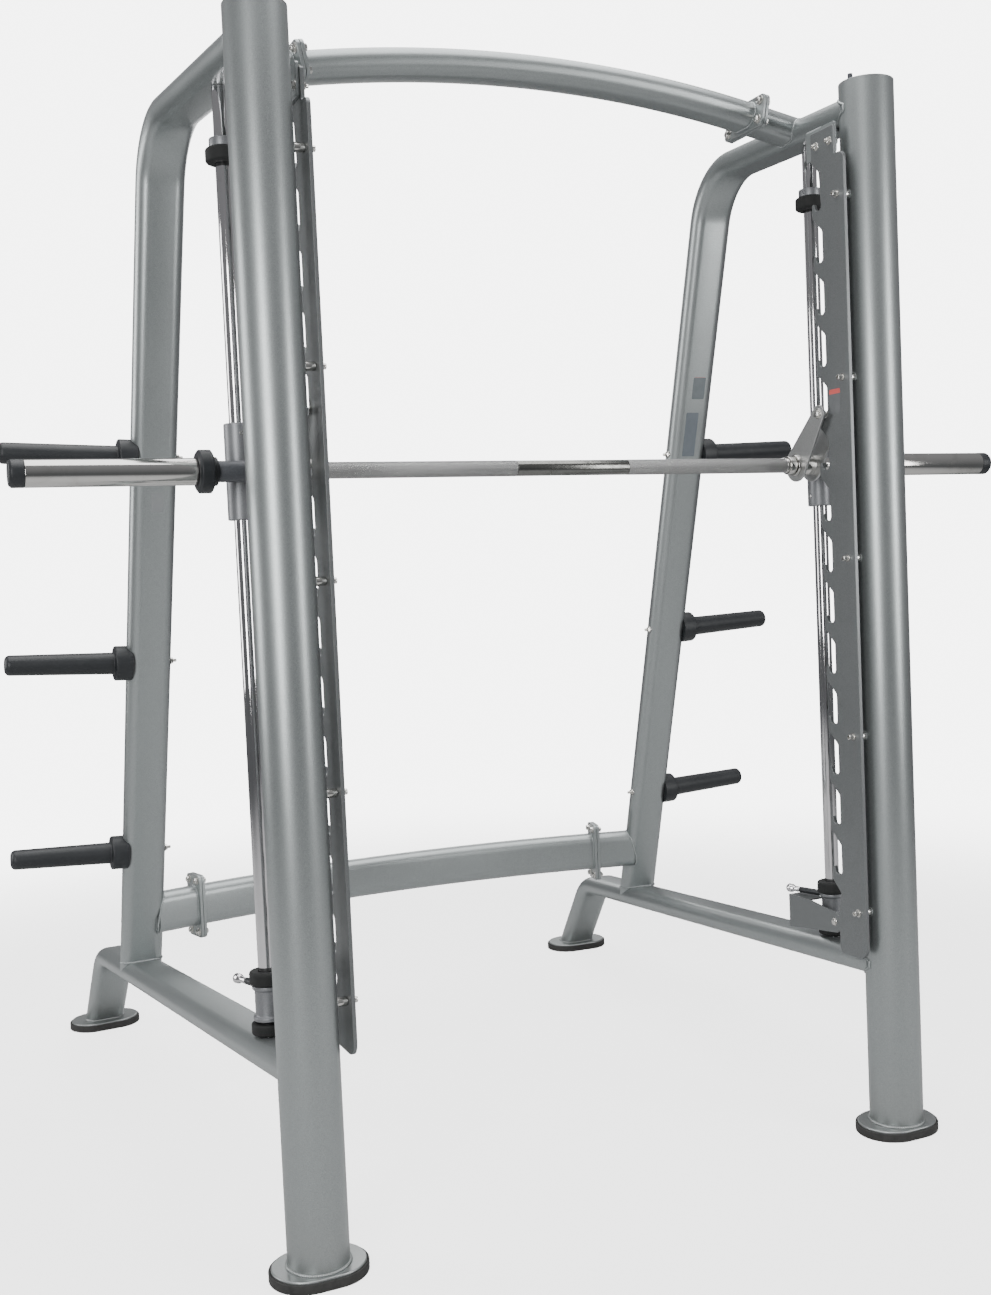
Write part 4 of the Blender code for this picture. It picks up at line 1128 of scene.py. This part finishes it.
def hookOutline(plan):
    # arcs of radius R round the bar and r round the pin, joined by tangents at +-acos((R - r) / distance)
    endY, endZ = plan["pinY"] - barY, plan["pinZ"] - barZ
    along = math.atan2(endZ, endY)
    spread = math.acos((plan["large"] - plan["small"]) / math.hypot(endY, endZ))
    wide = along + spread + (2 * np.pi - 2 * spread) * np.linspace(0, 1, 41)
    tight = along - spread + 2 * spread * np.linspace(0, 1, 21)
    one = plan["large"] * np.stack([np.cos(wide), np.sin(wide)], 1)
    two = np.array([endY, endZ]) + plan["small"] * np.stack([np.cos(tight), np.sin(tight)], 1)
    return np.concatenate([one, two])


for label, side in sides.items():
    node = f"{label}_hook"
    origin = barCentre * [0, 1, 1]
    plates = []
    for x in hookPlan["plateX"]:
        place = origin + np.array([side * x, 0, 0])
        plates.append(plateShape(hookOutline(hookPlan), hookPlan["thickness"], place, (0, 1, 0), (0, 0, 1)))
    addPiece(f"{label}HookPlates", plates, node, satinPlate, [node], 0.0009)
    edges = [0.0004, 0.001, 0.001, 0.0004]
    hub = turnedRing(0.0164, 0.0220, 0.5560, 0.6005, edges, 3, barCentre, barAxis, 64, side)
    ring = roundCorners(
        [(0.0164, 0.5558), (0.0245, 0.5558), (0.0225, 0.5495), (0.0164, 0.5495)],
        [0.0004, 0.0012, 0.0015, 0.0004], 3,
    )
    pinPlace = hookPlan["pinY"], hookPlan["pinZ"]
    pinParts = []
    for start, end in hookPlan["pinHalves"]:
        pinParts.append(
            turnedRod(hookPlan["pinRadius"], start, end, 0.0008, spot(0, *pinPlace), barAxis, 40, side)
        )
    pinParts.append(hexHead(spot(side * 0.5561, *pinPlace), (-side, 0, 0), 0.0150, 0.0065, 0.0115))
    hubParts = [hub, turnedShape(ring * [1, side], barCentre, barAxis, 64, True)]
    addPiece(f"{label}HookHub", hubParts, node, barChrome)
    addPiece(f"{label}HookPin", pinParts, node, brightZinc, sharp=30)
print("hooks made")

stopPlan = {
    "bottom": 0.4135, "top": 0.482, "pivotY": 0.150, "pivotZ": 0.433, "cheekX": 0.6265, "knobZ": 0.4751
}
knobPlan = {"left": (-0.35, 0.94, 0.0705), "right": (-0.286, 0.958, 0.091)}
for label, side in sides.items():
    node = f"{label}_stop_body"
    centre = np.array([side * rodX, rodY, 0.0])
    top, bottom = stopPlan["top"], stopPlan["bottom"]
    spool = [
        (0.0166, top), (0.0295, top), (0.0295, top - 0.0070), (0.0250, top - 0.0100),
        (0.0250, bottom + 0.0100), (0.0295, bottom + 0.0070), (0.0295, bottom), (0.0166, bottom),
    ]
    spool = roundCorners(spool, [0.0008, 0.0015, 0.002, 0.003, 0.003, 0.002, 0.0015, 0.0008], 4)
    body = turnedShape(spool, centre, upZ, 72, True)
    lug = plateShape(
        roundedRectangle(0.080, 0.024, 0.004, 4), 0.0135, spot(side * 0.636, 0.174, 0.433), (0, 1, 0),
        (0, 0, 1),
    )
    arm = plateShape(
        roundedRectangle(0.035, 0.024, 0.003, 4), 0.027, spot(side * 0.6475, 0.194, 0.433), (1, 0, 0),
        (0, 0, 1),
    )
    addPiece(f"{label}StopBody", [body, lug, arm], node, castGrey, [node])
    across, backwards, reach = knobPlan[label]
    direction = unit([across, backwards, 0.0])
    start = np.array([side * rodX, rodY, stopPlan["knobZ"]])
    edges = [0.0002, 0.0006, 0.0004, 0.0002]
    sleeve = turnedRing(0.0040, 0.0068, 0.020, reach - 0.0008, edges, 3, start, direction, 40)
    angles = np.linspace(0, 2 * np.pi, 96, endpoint=False)
    serrated = 0.0064 + 0.0004 * np.sign(np.sin(16 * angles))
    nutRadii = np.stack([np.full(96, 0.0045), serrated, serrated, np.full(96, 0.0045)])
    nutHeights = np.stack(
        [np.full(96, 0.034), np.full(96, 0.034), np.full(96, reach - 0.006), np.full(96, reach - 0.006)]
    )
    nut = ringShape(nutRadii, nutHeights, start, direction, True)
    addPiece(f"{label}KnobSleeve", [sleeve, nut], node, blackMoulded)
    node = f"{label}_stop_bumper"
    low, high = boxOf(node)
    bumper = turnedRing(
        0.0166, rodPlan["bumper"], low[2], high[2], [0.0008, 0.005, 0.004, 0.0008], 5, centre, upZ
    )
    addPiece(f"{label}StopBumper", [bumper], node, blackRubber, [node])
    node = f"{label}_stop_knob"
    head = [
        (0, 0.038), (0.0070, 0.0372), (0.0098, 0.0335), (0.0100, 0.0285), (0.0096, 0.0225),
        (0.0070, 0.0185), (0.0062, 0.0140), (0.0062, 0.0006), (0.0036, 0.0005), (0.0036, -0.028),
        (0, -0.028),
    ]
    head = roundCorners(
        head, [0, 0.002, 0.003, 0.004, 0.003, 0.002, 0.002, 0.0006, 0.0003, 0.0005, 0], 4, False
    )
    knob = turnedShape(head, start + direction * reach, direction, 56)
    addPiece(f"{label}StopKnob", [knob], node, rodChrome, [node])
    node = f"{label}_stop_bracket"
    pivotY, pivotZ = stopPlan["pivotY"], stopPlan["pivotZ"]
    low, high = boxOf(node)
    back, base, shelfZ = high[1] - depthShift - 0.0005, low[2] + 0.0005, high[2] - 0.0002
    nose = 0.0225
    cheek = [
        (pivotY - nose, pivotZ - nose), (0.200, pivotZ - nose - 0.008), (back, base), (back, shelfZ),
        (0.238, shelfZ), (0.190, pivotZ + nose + 0.004), (pivotY - nose, pivotZ + nose),
    ]
    cheek = roundCorners(cheek, [nose * 0.98, 0.06, 0.004, 0.002, 0.05, 0.06, nose * 0.98], 8)
    cheekShape = plateShape(cheek, 0.004, spot(side * stopPlan["cheekX"], 0, 0), (0, 1, 0), (0, 0, 1))
    shelf = plateShape(
        roundedRectangle(0.0465, 0.0720, 0.004, 4), 0.0036, spot(side * 0.6486, 0.2857, 0.4626), (1, 0, 0),
        (0, 1, 0),
    )
    addPiece(f"{label}StopBracket", [cheekShape, shelf], node, greyPlate, [node], 0.0007)
    face = stopPlan["cheekX"] - 0.002
    bolt = hexHead(spot(side * (face + 0.0002), pivotY, pivotZ), (-side, 0, 0), 0.0125, 0.0042, 0.0085)
    addPiece(f"{label}StopBolt", [bolt], node, brightZinc, sharp=30)
print("stops made")

labelPlan = {
    "leftUpright": {
        "node": "left_upright", "z": 1.461, "shift": 0.004, "size": (0.030, 0.046),
        "band": (0.30, 0.31, 0.31), "field": (0.20, 0.21, 0.215), "fade": (0.26, 0.27, 0.275),
    },
    "rightUprightHigh": {
        "node": "right_upright", "z": 1.730, "shift": 0.006, "size": (0.036, 0.058),
        "band": (0.75, 0.12, 0.10), "field": (0.11, 0.13, 0.14), "fade": (0.16, 0.18, 0.19),
    },
    "rightUprightLow": {
        "node": "right_upright", "z": 1.612, "shift": -0.004, "size": (0.036, 0.118),
        "band": (0.20, 0.33, 0.60), "field": (0.11, 0.13, 0.15), "fade": (0.16, 0.18, 0.20),
    },
    "rightCatch": {
        "node": "right_catch_plate", "z": 1.590, "shift": 0.026, "size": (0.036, 0.052),
        "band": (0.60, 0.10, 0.09), "field": (0.10, 0.105, 0.11), "fade": (0.15, 0.155, 0.16),
    },
}
for name, plan in labelPlan.items():
    side = -1.0 if plan["node"].startswith("left") else 1.0
    shape = roundedRectangle(*plan["size"], 0.003, 4)
    if plan["node"].endswith("upright"):
        down = uprightLine[side][1]
        level = unit(np.cross(upZ, down))
        level = level * np.sign(level[0])
        outwards = np.cross(down, level)
        outwards = outwards * -np.sign(outwards[1])
        centre = (
            sidePoint(side, uprightY(plan["z"]), plan["z"])
            + level * plan["shift"]
            + outwards * (railPlan["depth"] / 2 + 0.00005)
        )
        blank = plateShape(shape, 0.0003, centre, level, -down)
    else:
        centre = spot(
            side * (catchPlan["x"] - catchPlan["thickness"] / 2 - 0.00005), plan["shift"], plan["z"]
        )
        blank = plateShape(shape, 0.0003, centre, (0, 1, 0), (0, 0, 1))
    look = {**plan, "bandZ": plan["z"] + plan["size"][1] * 0.5 - 0.010}
    addPiece(f"{name}Label", [blank], plan["node"], labelMaterial(f"{name}Label", look))
print("labels made")

stagePlan = {
    "floor": 5.0, "fadeStart": 1.6, "fadeEnd": 4.6, "floorAlpha": 0.55, "floorColour": (0.86, 0.86, 0.86)
}
floorMesh = bpy.data.meshes.new("studioFloor")
reach = stagePlan["floor"]
ringCount, sideCount = 3, 96
angles = np.linspace(0, 2 * np.pi, sideCount, endpoint=False)
floorPoints = np.concatenate(
    [
        reach * scale * np.stack([np.cos(angles), np.sin(angles), 0 * angles], 1)
        for scale in (0.001, 0.4, 1.0)
    ]
)
floorMesh.from_pydata(
    floorPoints.tolist(), [], gridFaces(ringCount, sideCount, False, True) + [list(range(sideCount))]
)
floorMesh.update()
studioFloor = bpy.data.objects.new("studioFloor", floorMesh)
bpy.context.scene.collection.objects.link(studioFloor)
floorMaterial, floorTree, floorShader, floorVector = startMaterial("paleFloor", 0.0, 0.2)
floorGrain = groupNode(floorTree, clouds, floorVector, {"Broad Scale": 0.6, "Fine Scale": 60.0})
floorTree.links.new(
    mixColour(floorTree, floorGrain.outputs["Clouds"], stagePlan["floorColour"], (0.90, 0.90, 0.90)),
    floorShader.inputs["Base Color"],
)
floorShader.inputs["Roughness"].default_value = 0.75
fromMiddle = addNode(floorTree, "ShaderNodeVectorMath", {"operation": "LENGTH"})
floorTree.links.new(floorVector, fromMiddle.inputs[0])
rimFade = addNode(
    floorTree, "ShaderNodeMapRange", {"interpolation_type": "SMOOTHERSTEP"},
    {
        "From Min": stagePlan["fadeStart"], "From Max": stagePlan["fadeEnd"],
        "To Min": stagePlan["floorAlpha"], "To Max": 0.0,
    },
)
floorTree.links.new(fromMiddle.outputs["Value"], rimFade.inputs["Value"])
floorTree.links.new(rimFade.outputs["Result"], floorShader.inputs["Alpha"])
floorMesh.materials.append(floorMaterial)

world = bpy.data.worlds.new("studio")
bpy.context.scene.world = world
world.use_nodes = True
worldTree = world.node_tree
background = worldTree.nodes["Background"]
rayKind = addNode(worldTree, "ShaderNodeLightPath")
direction = addNode(worldTree, "ShaderNodeTexCoord")
splitUp = addNode(worldTree, "ShaderNodeSeparateXYZ")
worldTree.links.new(direction.outputs["Generated"], splitUp.inputs["Vector"])
height = mapRange(worldTree, splitUp.outputs["Z"], -0.2, 0.9, 0.0, 1.0)
dome = mixColour(worldTree, height, (0.13, 0.135, 0.14), (0.36, 0.36, 0.37))
worldTree.links.new(
    mixColour(worldTree, rayKind.outputs["Is Camera Ray"], dome, (6.0, 6.0, 6.0)),
    background.inputs["Color"],
)
background.inputs["Strength"].default_value = 1.0


def softBox(name, place, target, width, height, power):
    light = bpy.data.lights.new(name, "AREA")
    light.shape = "RECTANGLE"
    light.size, light.size_y = width, height
    light.energy = power
    lamp = bpy.data.objects.new(name, light)
    bpy.context.scene.collection.objects.link(lamp)
    lamp.location = place
    aim = np.asarray(target, float) - np.asarray(place, float)
    lamp.rotation_euler = Vector(aim).to_track_quat("-Z", "Y").to_euler()


softBox("keyBox", (-3.0, -3.6, 1.9), (0.0, 0.0, 1.3), 1.0, 2.8, 110.0)
softBox("fillBox", (2.6, -3.8, 1.9), (0.0, 0.0, 1.3), 0.8, 2.8, 75.0)
softBox("sideBox", (-3.8, 1.2, 1.9), (-0.7, 0.3, 1.3), 1.4, 2.6, 70.0)
softBox("backBox", (1.6, 4.4, 2.6), (0.0, 0.0, 1.2), 2.4, 1.6, 40.0)
softBox("topBox", (0.0, -0.2, 5.2), (0.0, 0.0, 0.0), 5.0, 5.0, 300.0)

viewPlan = {
    "place": (-1.346, -2.438, 1.2531), "yaw": 24.106, "pitch": -2.954, "roll": -2.524, "focal": 1412.0
}
camera = bpy.data.objects.new("viewCamera", bpy.data.cameras.new("viewCamera"))
bpy.context.scene.collection.objects.link(camera)
yaw, pitch, roll = (math.radians(viewPlan[key]) for key in ("yaw", "pitch", "roll"))
forward = np.array([math.sin(yaw) * math.cos(pitch), math.cos(yaw) * math.cos(pitch), math.sin(pitch)])
rightward = np.array([math.cos(yaw), -math.sin(yaw), 0.0])
upward = np.cross(rightward, forward)
turnedRight = rightward * math.cos(roll) + upward * math.sin(roll)
turnedUp = np.cross(turnedRight, forward)
axes = Matrix([turnedRight.tolist(), turnedUp.tolist(), (-forward).tolist()]).transposed()
camera.matrix_world = Matrix.Translation(spot(*viewPlan["place"]).tolist()) @ axes.to_4x4()
camera.data.sensor_width = 36.0
camera.data.lens = viewPlan["focal"] / 1295 * 36.0
camera.data.clip_start, camera.data.clip_end = 0.05, 100.0
camera.data.dof.use_dof = False
bpy.context.scene.camera = camera
